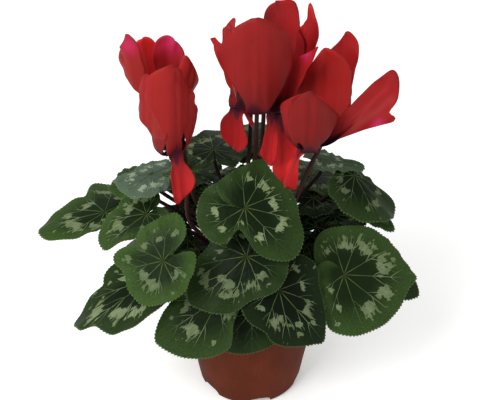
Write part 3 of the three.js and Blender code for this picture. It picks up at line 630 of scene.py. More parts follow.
def petal_face(name, base, middle, tip, rosy):
    """Cyclamen petal: thin tissue with a satin bloom. Crimson with faint lengthwise veins, and
    almost black-red at the mouth."""
    finish, tree, shader = new_finish(name, 0.55, 0.16)
    grid, _, share, _ = carried(tree, "grain")
    _, blush_and_sheen, _, painted_light = carried(tree, "tone")
    # Veins 1.2 mm apart that run the petal's length, and clouds of rose 9 mm wide and 20 mm long.
    threads = streaks(tree, grid, (HALF_PETAL / 1.2, PETAL_REACH / 40, 3), 3)
    cloud = streaks(tree, grid, (HALF_PETAL / 9, PETAL_REACH / 20, 5), 2)
    warp = add_node(tree, "Math", (threads, 0.12, -0.06), operation="MULTIPLY_ADD")
    along = add_node(tree, "Math", (share, warp), operation="ADD")
    colour = add_node(tree, "ValToRGB", (along,), [
        (0.0, "#1c070c"), (0.08, "#300a14"), (0.2, base), (0.5, middle), (1.0, tip)])
    # The eye is a dark blotch on the foot, three tenths of the petal long and wide.
    blotch = add_node(tree, "VectorMath", (grid, (1 / 0.3, 1 / 0.3, 0)), operation="MULTIPLY")
    blotch = add_node(tree, "VectorMath", (blotch,), operation="LENGTH").outputs["Value"]
    eye = add_node(tree, "MapRange", (blotch, 0.7, 1.05, 0.85, 0), interpolation_type="SMOOTHSTEP")
    colour = add_node(tree, "MixRGB", (eye, colour, "#35081a"))
    # Rose clouds of the petal's own, joined by rose patches that are partly blush and partly painted sheen.
    rose = add_node(tree, "MapRange", (cloud, 0.4, 0.75, 0, 0.06))
    rose = add_node(tree, "Math", (rose, share), operation="MULTIPLY")
    rose = add_node(tree, "Math", (rose, blush_and_sheen), operation="MAXIMUM")
    colour = add_node(tree, "MixRGB", (rose, colour, rosy))
    # The veins are a little darker, and painted light makes a petal brighter, painted shade darker.
    light = add_node(tree, "MapRange", (threads, 0.3, 0.7, 0.95, 1.04))
    light = add_node(tree, "Math", (painted_light, PAINTED_LIGHT_STEP, light), operation="MULTIPLY_ADD")
    colour = add_node(tree, "VectorMath", {0: colour, "Scale": light}, operation="SCALE")
    relief = add_node(tree, "Bump", {"Height": threads, "Strength": 0.2, "Distance": 0.2 * MM})
    return laid_on(finish, shader, colour, relief)


def throat_lining():
    """The flower's throat: the same tissue, thick and black-red round the mouth."""
    finish, tree, shader = new_finish("petal_tissue_throat", 0.5, 0.3)
    place = add_node(tree, "TexCoord").outputs["Object"]
    cloud = add_node(tree, "TexNoise", {"Vector": place, "Scale": 1 / (3 * MM), "Detail": 2})
    return laid_on(finish, shader, add_node(tree, "ValToRGB", (cloud,), [(0.3, "#1c070c"), (0.7, "#3c0d16")]))


def pot_plastic():
    """Grower's pot: terracotta-coloured polypropylene, drawn thin over a mould. Satin, with clouds of
    30 mm, upright draw lines 2 mm apart and a skin with pebbles of 0.8 mm, all of them faint."""
    finish, tree, shader = new_finish("pot_thermoformed_polypropylene", 0.6, 0.04, ior=1.49)
    place = add_node(tree, "TexCoord").outputs["Object"]
    cloud = add_node(tree, "TexNoise", {"Vector": place, "Scale": 1 / (30 * MM), "Detail": 3})
    lines = streaks(tree, place, (1 / (2 * MM), 1 / (2 * MM), 1 / (125 * MM)), 1)
    mixed = add_node(tree, "Math", (lines, 0.3, cloud), operation="MULTIPLY_ADD")
    colour = add_node(tree, "ValToRGB", (mixed,), [(0.35, "#481d0e"), (0.65, "#532312"), (0.95, "#5f2917")])
    pebble = add_node(tree, "TexNoise", {"Vector": place, "Scale": 1 / (0.8 * MM), "Detail": 2})
    relief = add_node(tree, "Bump", {"Height": pebble, "Strength": 0.12, "Distance": 0.1 * MM})
    return laid_on(finish, shader, colour, relief)


def potting_mix():
    """Potting mix: milled peat and bark, watered. Dark brown, quite without shine, with crumbs of
    2 mm and dust of 1 mm."""
    finish, tree, shader = new_finish("peat_potting_mix", 0.95, 0.15)
    place = add_node(tree, "TexCoord").outputs["Object"]
    crumbs = add_node(tree, "TexVoronoi", {"Vector": place, "Scale": 1 / (2.2 * MM)})
    dust = add_node(tree, "TexNoise", {"Vector": place, "Scale": 1 / (1.0 * MM), "Detail": 4})
    mixed = add_node(tree, "Math", (crumbs.outputs["Distance"], 0.5, dust), operation="MULTIPLY_ADD")
    colour = add_node(tree, "ValToRGB", (mixed,), [
        (0.35, "#17100c"), (0.6, "#2c211b"), (0.85, "#46362b"), (1.0, "#6a5646")])
    relief = add_node(tree, "Bump", {"Height": mixed, "Strength": 0.8, "Distance": 1.0 * MM})
    return laid_on(finish, shader, colour, relief)


def tuber_cork():
    """Tuber: a corky rind, grey-brown, with cracks 4 mm apart."""
    finish, tree, shader = new_finish("tuber_corky_rind", 0.85, 0.2)
    place = add_node(tree, "TexCoord").outputs["Object"]
    cracks = add_node(tree, "TexVoronoi", {"Vector": place, "Scale": 1 / (4 * MM)},
                      feature="DISTANCE_TO_EDGE").outputs["Distance"]
    colour = add_node(tree, "ValToRGB", (cracks,), [(0.0, "#2b1d15"), (0.12, "#5b4334"), (0.6, "#765a47")])
    relief = add_node(tree, "Bump", {"Height": cracks, "Strength": 0.6, "Distance": 0.6 * MM})
    return laid_on(finish, shader, colour, relief)


def floor_paper():
    """Studio sheet: matt white paper rolled out under the pot, faintly lit from below, with fibres
    drawn 4 mm long, because real ones are too fine to show."""
    finish, tree, shader = new_finish("studio_matt_paper", 0.9, 0.1)
    shader.inputs["Emission Color"].default_value = linear("#ffffff")
    shader.inputs["Emission Strength"].default_value = 0.2
    place = add_node(tree, "TexCoord").outputs["Object"]
    fibre = add_node(tree, "TexNoise", {"Vector": place, "Scale": 1 / (4 * MM), "Detail": 2})
    return laid_on(finish, shader, add_node(tree, "ValToRGB", (fibre,), [(0.2, "#fafaf9"), (0.8, "#fdfdfc")]))


# Making a piece

class Form:
    """The points and faces of one piece, in millimetres, with what its finishes read at each point:
    "grain" says where on the leaf, petal or stalk a point is, and "tone" how that one looks."""

    def __init__(self):
        self.points = []
        self.grain = []
        self.tone = []
        self.faces = []
        self.finish = []
        self.count = 0

    def add(self, points, faces, finish=0, grain=(0, 0, 0), tone=(0, 0, 0)):
        points = np.asarray(points, float)
        self.points.append(points)
        self.grain.append(np.broadcast_to(np.asarray(grain, float), points.shape))
        self.tone.append(np.broadcast_to(np.asarray(tone, float), points.shape))
        self.faces.extend([tuple(self.count + i for i in face) for face in faces])
        self.finish.extend([finish] * len(faces) if isinstance(finish, int) else finish)
        self.count += len(points)

    def make(self, name, finishes, replaced):
        mesh = bpy.data.meshes.new(name)
        mesh.from_pydata((np.concatenate(self.points) * MM).tolist(), [], self.faces)
        for key, values in (("grain", self.grain), ("tone", self.tone)):
            layer = mesh.attributes.new(key, "FLOAT_VECTOR", "POINT")
            layer.data.foreach_set("vector", np.concatenate(values).astype(np.float32).ravel())
        for finish in finishes:
            mesh.materials.append(finish)
        mesh.polygons.foreach_set("material_index", np.array(self.finish, np.int32))
        mesh.polygons.foreach_set("use_smooth", np.ones(len(self.faces), bool))
        mesh.update()
        piece = bpy.data.objects.new(name, mesh)
        bpy.context.scene.collection.objects.link(piece)
        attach(piece, "root")
        if replaced:
            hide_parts(*replaced)
        return piece


def direction(degrees):
    """The level direction at an angle from +X towards +Y."""
    return np.array([math.cos(math.radians(degrees)), math.sin(math.radians(degrees)), 0.0])


def travelled(line):
    """How far along a line each of its points lies."""
    return np.concatenate([[0], np.cumsum(np.linalg.norm(np.diff(line, axis=0), axis=1))])


def round_bar(path, radii, sides, across):
    """A round bar along a path, closed at both ends. Its cross-section is laid out from `across`."""
    path = np.asarray(path, float)
    radii = np.broadcast_to(np.asarray(radii, float), len(path))
    along = np.gradient(path, axis=0)
    along /= np.linalg.norm(along, axis=1)[:, None]
    right = np.cross(across, along)
    right /= np.linalg.norm(right, axis=1)[:, None]
    raised = np.cross(along, right)
    turn = np.arange(sides) / sides * 2 * np.pi
    ring = np.cos(turn)[None, :, None] * right[:, None] + np.sin(turn)[None, :, None] * raised[:, None]
    points = (path[:, None] + radii[:, None, None] * ring).reshape(-1, 3)
    faces = []
    for a in range(0, (len(path) - 1) * sides, sides):
        for j in range(sides):
            k = (j + 1) % sides
            faces.append((a + j, a + k, a + sides + k, a + sides + j))
    faces.append(tuple(range(sides - 1, -1, -1)))
    faces.append(tuple(range(len(points) - sides, len(points))))
    return points, faces


def add_stalk(form, path, radii, sides, azimuth, finish, end=1):
    """Adds a stalk to a form. Its grain runs from 0 at the foot to `end` at the other end."""
    points, faces = round_bar(path, radii, sides, np.cross(direction(azimuth), UPWARDS))
    along = np.repeat(np.linspace(0, 1, len(path)), sides) * end
    form.add(points, faces, finish, np.stack([along * 0, along, along * 0], axis=1))


def turned(profile, sides, centre=(0, 0, 0)):
    """A form turned round the upright axis from a profile of (radius, height), which starts and ends
    on the axis and runs up its outer side."""
    inner = profile[1:-1]
    turn = np.arange(sides) / sides * 2 * np.pi
    points = [(0, 0, profile[0][1])]
    for r, h in inner:
        points.extend((r * math.cos(t), r * math.sin(t), h) for t in turn)
    points.append((0, 0, profile[-1][1]))
    top = 1 + (len(inner) - 1) * sides
    faces = []
    for j in range(sides):
        k = (j + 1) % sides
        faces.append((0, 1 + k, 1 + j))
        faces.extend((a + j, a + k, a + sides + k, a + sides + j) for a in range(1, top, sides))
        faces.append((top + j, top + k, len(points) - 1))
    return np.array(points) + np.array(centre), faces


def rounded(profile, steps):
    """A profile with its corners drawn as a smooth line that passes through the points."""
    p = np.array(profile, float)
    line = [p[0]]
    for i in range(len(p) - 1):
        before = p[max(i - 1, 0)]
        after = p[min(i + 2, len(p) - 1)]
        for s in np.arange(1, steps + 1) / steps:
            line.append(0.5 * ((2 * p[i]) + (p[i + 1] - before) * s
                               + (2 * before - 5 * p[i] + 4 * p[i + 1] - after) * s ** 2
                               + (3 * p[i] - before - 3 * p[i + 1] + after) * s ** 3))
    return np.array(line)


def mirrored(half):
    """The other half of an outline: the same points on the other side, in reverse order."""
    return [(u, -v) for u, v in reversed(half)]


# Leaves

def leaf_axes(leaf):
    """A leaf's midrib, its left side and its upper face, as directions."""
    h, p, r = (math.radians(leaf[k]) for k in ("heading", "pitch", "roll"))
    midrib = np.array([math.cos(p) * math.cos(h), math.cos(p) * math.sin(h), math.sin(p)])
    level = np.array([-math.sin(h), math.cos(h), 0])
    upright = np.cross(midrib, level)
    side = level * math.cos(r) + upright * math.sin(r)
    up = upright * math.cos(r) - level * math.sin(r)
    return midrib, side, up


def heart(angle, lobe):
    """The outline of a heart-shaped blade, as a share of its length, at degrees from the tip."""
    turn = np.abs(angle)
    # A round body with a point at the tip, which swells or shrinks to the lobes past 80 degrees and
    # falls back to the stalk past 155.
    body = 0.7 + 0.1 * np.cos(np.radians(angle)) + 0.2 * np.exp(-((turn / 20) ** 2))
    s = np.clip((turn - 80) / 70, 0, 1)
    back = s * s * (3 - 2 * s)
    past = np.maximum(0, turn - 155) / 25
    return (body + (lobe - 0.6) * back) * (1 - 0.8 * past ** 2.5)


def rim_reach(leaf, angle):
    """How far a blade reaches at an angle from the tip: its own rim, or the plain heart."""
    if "rim" not in leaf:
        return leaf["length"] * heart(np.asarray(angle, float), leaf["lobe"])
    return np.interp(angle, leaf["rim"][:, 0], leaf["rim"][:, 1])


def crease(angle, r):
    """How far the blade dips along its main veins and swells between them, in millimetres."""
    off = np.min([np.abs(angle - a) for a in MAIN_VEINS], axis=0)
    gap = r * np.sin(np.radians(np.minimum(off, 60)))
    swell = SWELL_HEIGHT * (1 - np.exp(-(gap / 6) ** 2)) * np.clip((r - 6) / 20, 0, 1)
    return swell - VEIN_DIP * np.exp(-(gap / 1.5) ** 2) * np.clip((r - 3) / 12, 0, 1)


def blade_at(leaf, angle, share, lift=0.0):
    """Points of a blade at degrees from the tip and shares of the way to the rim, raised by `lift`."""
    midrib, side, up = leaf_axes(leaf)
    length = leaf["length"]
    bend = length / math.radians(leaf["droop"])
    r = share * rim_reach(leaf, angle)
    u = r * np.cos(np.radians(angle))
    v = r * np.sin(np.radians(angle)) * leaf["width"]
    ripple = leaf["wave"] * (r / length) ** 2 * np.sin(np.radians(EDGE_WAVES * angle + leaf["phase"]))
    frill = FRILL_HEIGHT * np.clip(share - 0.6, 0, 1) / 0.4 * np.sin(
        np.radians(FRILL_WAVES * angle + 31 * leaf["seed"]))
    # The two halves fold along the midrib, and a lobe that laps stands higher than the other.
    slant = (np.hypot(v, MIDRIB_FLAT) - MIDRIB_FLAT) * math.tan(math.radians(leaf["fold"]))
    lap = leaf["lap"] * np.sign(angle) * np.clip((np.abs(angle) - 110) / 60, 0, 1) * np.clip(r / 6, 0, 1)
    w = slant - bend * (1 - np.cos(u / bend)) + ripple + frill + crease(angle, r) + lap + lift
    return (np.array(leaf["at"]) + np.multiply.outer(bend * np.sin(u / bend), midrib)
            + np.multiply.outer(v, side) + np.multiply.outer(w, up))


def silver_patches(leaf):
    """The silver patches of a blade: degrees from the tip, millimetres from the stalk, and size."""
    draw = random.Random(leaf["seed"])
    veins = sorted(MAIN_VEINS)
    patches = []
    for first, second in zip(veins[:-1], veins[1:]):
        middle = (first + second) / 2
        reach = float(rim_reach(leaf, middle))
        for chance, place, size, stray in MARBLING:
            if draw.random() < chance:
                patches.append((middle + draw.uniform(-stray, stray), reach * draw.uniform(*place),
                                reach * draw.uniform(*size)))
    return patches


def silver_at(leaf, angle, r):
    """How near a point of a blade is to its silver patches: 1 in the middle of one. A patch is wider
    along the rim than across, and ends abruptly towards the stalk and slowly towards the rim."""
    nearness = np.zeros(len(r))
    for at, reach, size in silver_patches(leaf):
        outward = r * np.cos(np.radians(angle - at)) - reach
        sideways = r * np.sin(np.radians(angle - at))
        depth = np.where(outward < 0, 0.8, 1.7) * size
        spot = np.exp(-0.5 * ((outward / depth) ** 2 + (sideways / (1.6 * size)) ** 2))
        nearness = np.maximum(nearness, np.where(np.abs(angle - at) < 90, spot, 0))
    return nearness


def blade_marks(leaf, angle, share):
    """What the finishes read at points of a blade: where each point is, and how it looks there."""
    even = np.ones(len(angle))
    silver = silver_at(leaf, angle, share * rim_reach(leaf, angle))
    return (np.stack([angle / 180, share, even * leaf["seed"]], axis=1),
            np.stack([silver, even * leaf["green"], even * leaf["silver"]], axis=1))


def blade_skins(form, leaf):
    """Upper and lower skin of a blade and the thin wall between them, with a toothed edge."""
    low, high = (leaf["rim"][0, 0], leaf["rim"][-1, 0]) if "rim" in leaf else (-SINUS_ANGLE, SINUS_ANGLE)
    # The teeth stand at equal steps along the rim, not at equal angles.
    sweep = np.linspace(low, high, 300)
    run = travelled(blade_at(leaf, sweep, 1))
    teeth = int(np.clip(round(run[-1] / TOOTH_SPACING), *TOOTH_COUNT))
    spokes = np.interp(np.linspace(0, run[-1], teeth + 1), run, sweep)
    # A tooth leans towards the tip: a long slope up and a short one down.
    lean = np.where((spokes[:-1] < 0)[:, None], [0, 0.5, 0.8], [0, 0.2, 0.5])
    rim_angle = np.append((spokes[:-1, None] + lean * np.diff(spokes)[:, None]).ravel(), spokes[-1])
    notch = 1 - TOOTH_NOTCH / leaf["length"]
    peak = min(1 + TOOTH_RISE / leaf["length"], 1.02)
    rim_share = np.append(np.tile([notch, peak, 1.0], teeth), notch)
    rings = np.linspace(0, RIM_START, BLADE_RINGS + 1)[1:]
    angle = np.concatenate([[0], np.tile(spokes, BLADE_RINGS), rim_angle])
    share = np.concatenate([[0], np.repeat(rings, teeth + 1), rim_share])

    rows = teeth + 1
    starts = range(1, 1 + BLADE_RINGS * rows, rows)
    sheet = [(0, 1 + i, 2 + i) for i in range(teeth)]
    for a in starts[:-1]:
        sheet.extend((a + i, a + rows + i, a + rows + i + 1, a + i + 1) for i in range(teeth))
    a, rim = starts[-1], starts[-1] + rows
    for i in range(teeth):
        r = rim + 3 * i
        sheet.extend([(a + i, r, r + 1), (a + i, r + 1, a + i + 1),
                      (a + i + 1, r + 1, r + 2), (a + i + 1, r + 2, r + 3)])
    below = len(angle)
    outline = [0, *starts, *range(rim, rim + 3 * teeth + 1), *[a + teeth for a in reversed(starts)]]
    wall = [(below + p, below + q, q, p) for p, q in zip(outline, outline[1:] + outline[:1])]
    under = [tuple(below + i for i in reversed(face)) for face in sheet]
    points = [blade_at(leaf, angle, share, lift * BLADE_THICKNESS) for lift in (0.5, -0.5)]
    form.add(np.concatenate(points), sheet + wall + under, [0] * len(sheet + wall) + [1] * len(under),
             *[np.tile(mark, (2, 1)) for mark in blade_marks(leaf, angle, share)])


def vein_lines(leaf):
    """The veins of a blade as lines in its own plane: (points from the stalk outwards, widths)."""
    draw = random.Random(leaf["seed"])
    scale = leaf["length"] / 45
    lines = []

    def branch(start, heading, reach, bow, wide, thin):
        s = np.linspace(0, 1, VEIN_STEPS + 1)
        turn = np.radians(heading + bow * s)
        steps = np.stack([np.cos(turn), np.sin(turn)], axis=1)[:-1] * reach / VEIN_STEPS
        path = np.concatenate([[start], start + np.cumsum(steps, axis=0)])
        lines.append((path, wide + (thin - wide) * s))
        return path, turn

    for main in MAIN_VEINS:
        size = float(rim_reach(leaf, main))
        heading = main + (draw.uniform(-3, 3) if main else 0)
        reach = size * (0.86 if main else 0.96)
        path, turn = branch(np.zeros(2), heading, reach, -VEIN_BOW * np.sign(main), *VEIN_RADII)
        for at, way in ((4, 1), (5, -1)) if main else ((3, 1), (3, -1), (5, 1), (5, -1)):
            fork = math.degrees(turn[at]) + way * draw.uniform(*FORK_ANGLE)
            reach = size * draw.uniform(*FORK_LENGTH)
            branch(path[at], fork, reach, -way * FORK_BOW, FORK_RADII[0] * scale, FORK_RADII[1])
    return lines


def vein_cords(form, leaf):
    """Each vein as a thin cord half sunk in the upper skin, and the main ones larger below."""
    for path, widths in vein_lines(leaf):
        angle = np.degrees(np.arctan2(path[:, 1], path[:, 0]))
        share = np.hypot(path[:, 0], path[:, 1]) / rim_reach(leaf, angle)
        inside = (share < 0.97) & (np.abs(angle) < 155)
        if inside.sum() < 3:
            continue
        angle, share, widths = angle[inside], share[inside], widths[inside]
        marks = [np.repeat(mark, VEIN_SIDES, axis=0) for mark in blade_marks(leaf, angle, share)]
        cords = [(0.5 * BLADE_THICKNESS, widths), (-0.5 * BLADE_THICKNESS - 0.1, 1.7 * widths)]
        for lift, radii in cords if widths[0] > 0.25 else cords[:1]:
            line = blade_at(leaf, angle, share, lift)
            form.add(*round_bar(line, radii, VEIN_SIDES, leaf_axes(leaf)[2]), 2, *marks)


def leaf_stalk_path(leaf):
    """The line of a leaf's stalk, from the tuber's crown to just inside the blade."""
    up = leaf_axes(leaf)[2]
    start = direction(leaf["root"]) * CROWN_RADIUS + UPWARDS * (TUBER_TOP - STALK_SINK)
    end = np.array(leaf["at"], float) - up * (CAD_BLADE_THICKNESS / 2 + STALK_GAP + 0.2)
    # The stalk rises steeply from the crown and comes to the blade from below.
    rise = start + 0.2 * (end - start)
    rise[2] = start[2] + 0.8 * max(end[2] - start[2], 20)
    under = end - up * 0.22 * np.linalg.norm(end - start)
    s = np.linspace(0, 1, 22)[:, None]
    path = (1 - s) ** 3 * start + 3 * (1 - s) ** 2 * s * rise + 3 * (1 - s) * s ** 2 * under + s ** 3 * end
    return np.concatenate([path, [end + up * 0.8]])


def back_leaves():
    """The leaves of the plant's back, by the same rule as its solids."""
    draw = random.Random(5)
    leaves = {}
    for i in range(BACK_COUNT):
        azimuth = BACK_FIRST_ANGLE + i * BACK_STEP
        tier = dict(BACK_TIERS[i % len(BACK_TIERS)])
        radius, height = tier.pop("radius"), tier.pop("height")
        x, y, _ = radius * direction(azimuth)
        leaves[f"leaf_back_{i + 1}"] = dict(
            at=(x, y, height + BACK_LIFT * (i % 2)), heading=azimuth, roll=0,
            silver=draw.uniform(0.45, 0.75), green=draw.uniform(0.35, 0.75), seed=101 + 6 * i, **tier)
    return leaves


def dressed_leaf(name, leaf):
    """A leaf with what it doesn't state itself, and with its own rim where it has one."""
    x, y, _ = leaf["at"]
    leaf = {"root": math.degrees(math.atan2(y, x)), **LEAF_DEFAULTS, **leaf}
    if name in LEAF_RIMS:
        leaf["rim"] = rounded(LEAF_RIMS[name], 6)
        leaf["rim"][:, 0] = np.maximum.accumulate(leaf["rim"][:, 0])
    return leaf


def make_young_leaves(finishes):
    """The young leaves in the middle of the plant, each with its stalk, as one piece."""
    form = Form()
    for number, (at, heading, length) in enumerate(YOUNG_LEAVES):
        # Their green is set low as painted shade, for they lie deep among the large leaves.
        leaf = dressed_leaf("", dict(at=at, heading=heading, pitch=YOUNG_PITCH, roll=0, length=length,
                                     silver=0.25, green=0.1, seed=201 + 7 * number))
        blade_skins(form, leaf)
        vein_cords(form, leaf)
        add_stalk(form, leaf_stalk_path(leaf), YOUNG_STALK_RADIUS, 8, leaf["root"], 3)
    return form.make("young_inner_leaves", finishes, [])


# Flowers

def petal_spine(mouth, petal, s):
    """A petal's middle line and its directions across and outwards at shares of its length."""
    azimuth, rise_start, rise_tip, length, _, twist, _ = petal
    out = direction(azimuth)
    across = np.array([-out[1], out[0], 0])
    fine = np.linspace(0, PETAL_OVERRUN, 131)
    rise = np.radians(rise_start + (rise_tip - rise_start) * (1 - np.exp(-fine * PETAL_TURN)))
    run = np.multiply.outer(np.cos(rise), out) + np.multiply.outer(np.sin(rise), UPWARDS)
    line = (np.array(mouth, float) + out * (THROAT_RADIUS - THROAT_WALL * 0.6)
            + np.concatenate([np.zeros((1, 3)), np.cumsum(run[1:] * length * 0.01, axis=0)]))
    centre, along = (
        np.stack([np.interp(s, fine, way[:, k]) for k in range(3)], axis=1) for way in (line, run))
    face = np.cross(along, across)
    spin = np.radians(PETAL_LEAN * np.sin(np.minimum(1, 3 * s) * 0.5 * np.pi) + twist * s)[:, None]
    return centre, across * np.cos(spin) + face * np.sin(spin), face * np.cos(spin) - across * np.sin(spin)


def petal_rim(key, length, width):
    """A petal's outline laid flat, its own or the plain one, as points at equal steps."""
    outline = PETAL_OUTLINES.get(key)
    if outline is None:
        half = [(x * length, 0.5 * y * width) for x, y in PLAIN_PETAL]
        outline = half + mirrored(half[:-1])
    if outline[0][0] > 0:
        outline = [*PETAL_FOOT, *outline, *mirrored(PETAL_FOOT)]
    line = rounded(outline, 6)
    run = travelled(line)
    even = np.linspace(0, run[-1], PETAL_COLUMNS)
    return np.stack([np.interp(even, run, line[:, k]) for k in range(2)], axis=1)


def petal_skins(form, mouth, petal, key, seed):
    """Both faces of a petal. Its outline is cut flat, then bent along the petal's middle line."""
    _, _, rise_tip, length, width, _, cup = petal
    rim = petal_rim(key, length, width)
    # The rings of points shrink towards a place half way along the petal and half way across it there.
    across = [v for u, v in rim if abs(u - 0.5 * length) < 0.1 * length]
    middle = np.array([0.5 * length, 0.5 * (min(across) + max(across))])
    rings = np.linspace(0, 1, PETAL_ROWS + 1)[1:] ** 0.85
    u, v = np.concatenate([[middle]] + [middle + share * (rim - middle) for share in rings]).T
    edge = np.concatenate([[0], np.repeat(rings, PETAL_COLUMNS)])
    s = np.clip(u / length, 0, PETAL_OVERRUN)
    centre, crosswise, normal = petal_spine(mouth, petal, s)
    # A frilled edge, a keel along the midline, faint ribs beside it, a hollow face and curled edges.
    phase = random.Random(seed).uniform(0, 6.28)
    sway = np.sin(0.38 * u + 0.2 * np.abs(v) + phase + 1.7 * np.sign(v))
    frill = PETAL_FRILL * edge ** 3 * np.clip(s * 1.6 - 0.4, 0, 1) * sway
    keel = PETAL_KEEL * np.exp(-(v / 1.6) ** 2) * np.clip(2 * s, 0, 1)
    ribs = PETAL_RIB * np.sin(0.9 * v + phase) * (1 - 0.6 * s)
    hollow = cup * np.clip(s / 0.3, 0, 1) * (np.minimum(1.5, (2 * v / width) ** 2) - 0.25)
    curl = np.where(v < 0, *PETAL_CURL.get(key, (0, 0)))
    curl = curl * np.clip(2 * np.abs(v) / width, 0, 1.2) ** 2 * np.clip(s / 0.4, 0, 1)
    skin = centre + crosswise * v[:, None] + normal * (hollow + curl + frill + (keel + ribs))[:, None]
    half = 0.5 * PETAL_THICKNESS * normal

    n, below = PETAL_COLUMNS, len(u)
    steps = [(j, (j + 1) % n) for j in range(n)]
    sheet = [(1 + k, 1 + j, 0) for j, k in steps]
    starts = range(1, below, n)
    for a in starts[:-1]:
        sheet.extend((a + k, a + n + k, a + n + j, a + j) for j, k in steps)
    last = starts[-1]
    wall = [(last + k, below + last + k, below + last + j, last + j) for j, k in steps]
    under = [tuple(below + i for i in reversed(face)) for face in sheet]
    # Rose patches, partly blush and partly painted sheen.
    rose = np.zeros(below)
    if key in PETAL_BLUSH_AND_SHEEN:
        at, aside, size = PETAL_BLUSH_AND_SHEEN[key]
        rose = np.exp(-0.5 * ((u - at) ** 2 + (v - aside) ** 2) / (0.6 * size) ** 2)
    # The petal's painted light, and painted shade where it is below 0.
    painted_light = PETAL_PAINTED_LIGHT.get(key, 1.0 if rise_tip < 0 else 0.0)
    grain = np.stack([2 * v / width, s, np.full(below, seed * 0.37)], axis=1)
    tone = np.stack([rose, edge, np.full(below, painted_light)], axis=1)
    form.add(np.concatenate([skin + half, skin - half]), sheet + wall + under,
             [0] * len(sheet) + [1] * len(wall + under), np.tile(grain, (2, 1)), np.tile(tone, (2, 1)))


def flower_stalk_path(flower):
    """The line of a flower's stalk: up beside the throat, over in a hook, and down to the throat's top."""
    side = direction(flower["stalk_side"])
    top = np.array(flower["mouth"], float) + UPWARDS * (THROAT_LENGTH + STALK_GAP)
    foot = direction(flower["root"]) * FLOWER_ROOT_RADIUS + UPWARDS * (TUBER_TOP + STALK_GAP)
    beside = top + side * 2 * HOOK_RADIUS
    middle = np.array(flower["via"], float)
    points = [foot - UPWARDS * 3, foot + UPWARDS * 10, foot + 0.55 * (middle - foot) + UPWARDS * 4, middle,
              middle + 0.5 * (beside - middle) + side, beside - UPWARDS * 10, beside + UPWARDS * 2]
    # The hook is half a circle.
    for a in np.radians((45, 90, 135)):
        points.append(top + side * HOOK_RADIUS * (1 + math.cos(a))
                      + UPWARDS * (HOOK_RISE + HOOK_RADIUS * math.sin(a)))
    return rounded([*points, top + UPWARDS * (HOOK_RISE - 1), top - UPWARDS * 0.4], 5)


def flower_pieces(name, flower, number, finishes):
    """One flower as two pieces: its throat with its petals, and its stalk with the calyx."""
    bloom = Form()
    for i, petal in enumerate(flower["petals"]):
        petal_skins(bloom, flower["mouth"], petal, (name, i), 10 * number + i)
    inner, roof = THROAT_RADIUS - THROAT_WALL, THROAT_LENGTH - THROAT_WALL
    inside = rounded([(inner, 0), (inner, 1.5), (inner - 1.5, roof)], 4).tolist()
    outside = rounded([(THROAT_RADIUS, 0), (THROAT_RADIUS - 0.3, 3), (THROAT_RADIUS - 1.8, THROAT_LENGTH)], 4)
    profile = [(0, roof), *reversed(inside), *outside.tolist(), (0, THROAT_LENGTH)]
    bloom.add(*turned(profile, 30, flower["mouth"]), 2)
    bloom.make(name + "_bloom", (finishes["petal_inner"], finishes["petal_outer"], finishes["throat"]),
               [name + "_petals"])
    stem = Form()
    path = flower_stalk_path(flower)
    add_stalk(stem, path, np.linspace(1.6, 1.2, len(path)), 12, flower["stalk_side"], 0, 0.9)
    top = np.array(flower["mouth"], float) + UPWARDS * (THROAT_LENGTH + STALK_GAP)
    stem.add(*turned(CALYX, 20, top), 0, (0, 0.95, 0))
    for k in range(5):
        away = direction(72 * k + 20)
        spine = rounded([top + away * r + UPWARDS * h for r, h in SEPAL_SPINE], 3)
        stem.add(*round_bar(spine, SEPAL_RADII, 6, np.cross(away, UPWARDS)), 0, (0, 0.97, 0))
    stem.make(name + "_stem", (finishes["stalk"],), [name + "_stalk"])


# Pot, soil and tuber

def pot_wall_at(z):
    """The radius of the pot's outside at a height below the lip."""
    return POT_BASE_RADIUS + (POT_TOP_RADIUS - LIP_WIDTH - POT_BASE_RADIUS) / UNDER_LIP * z


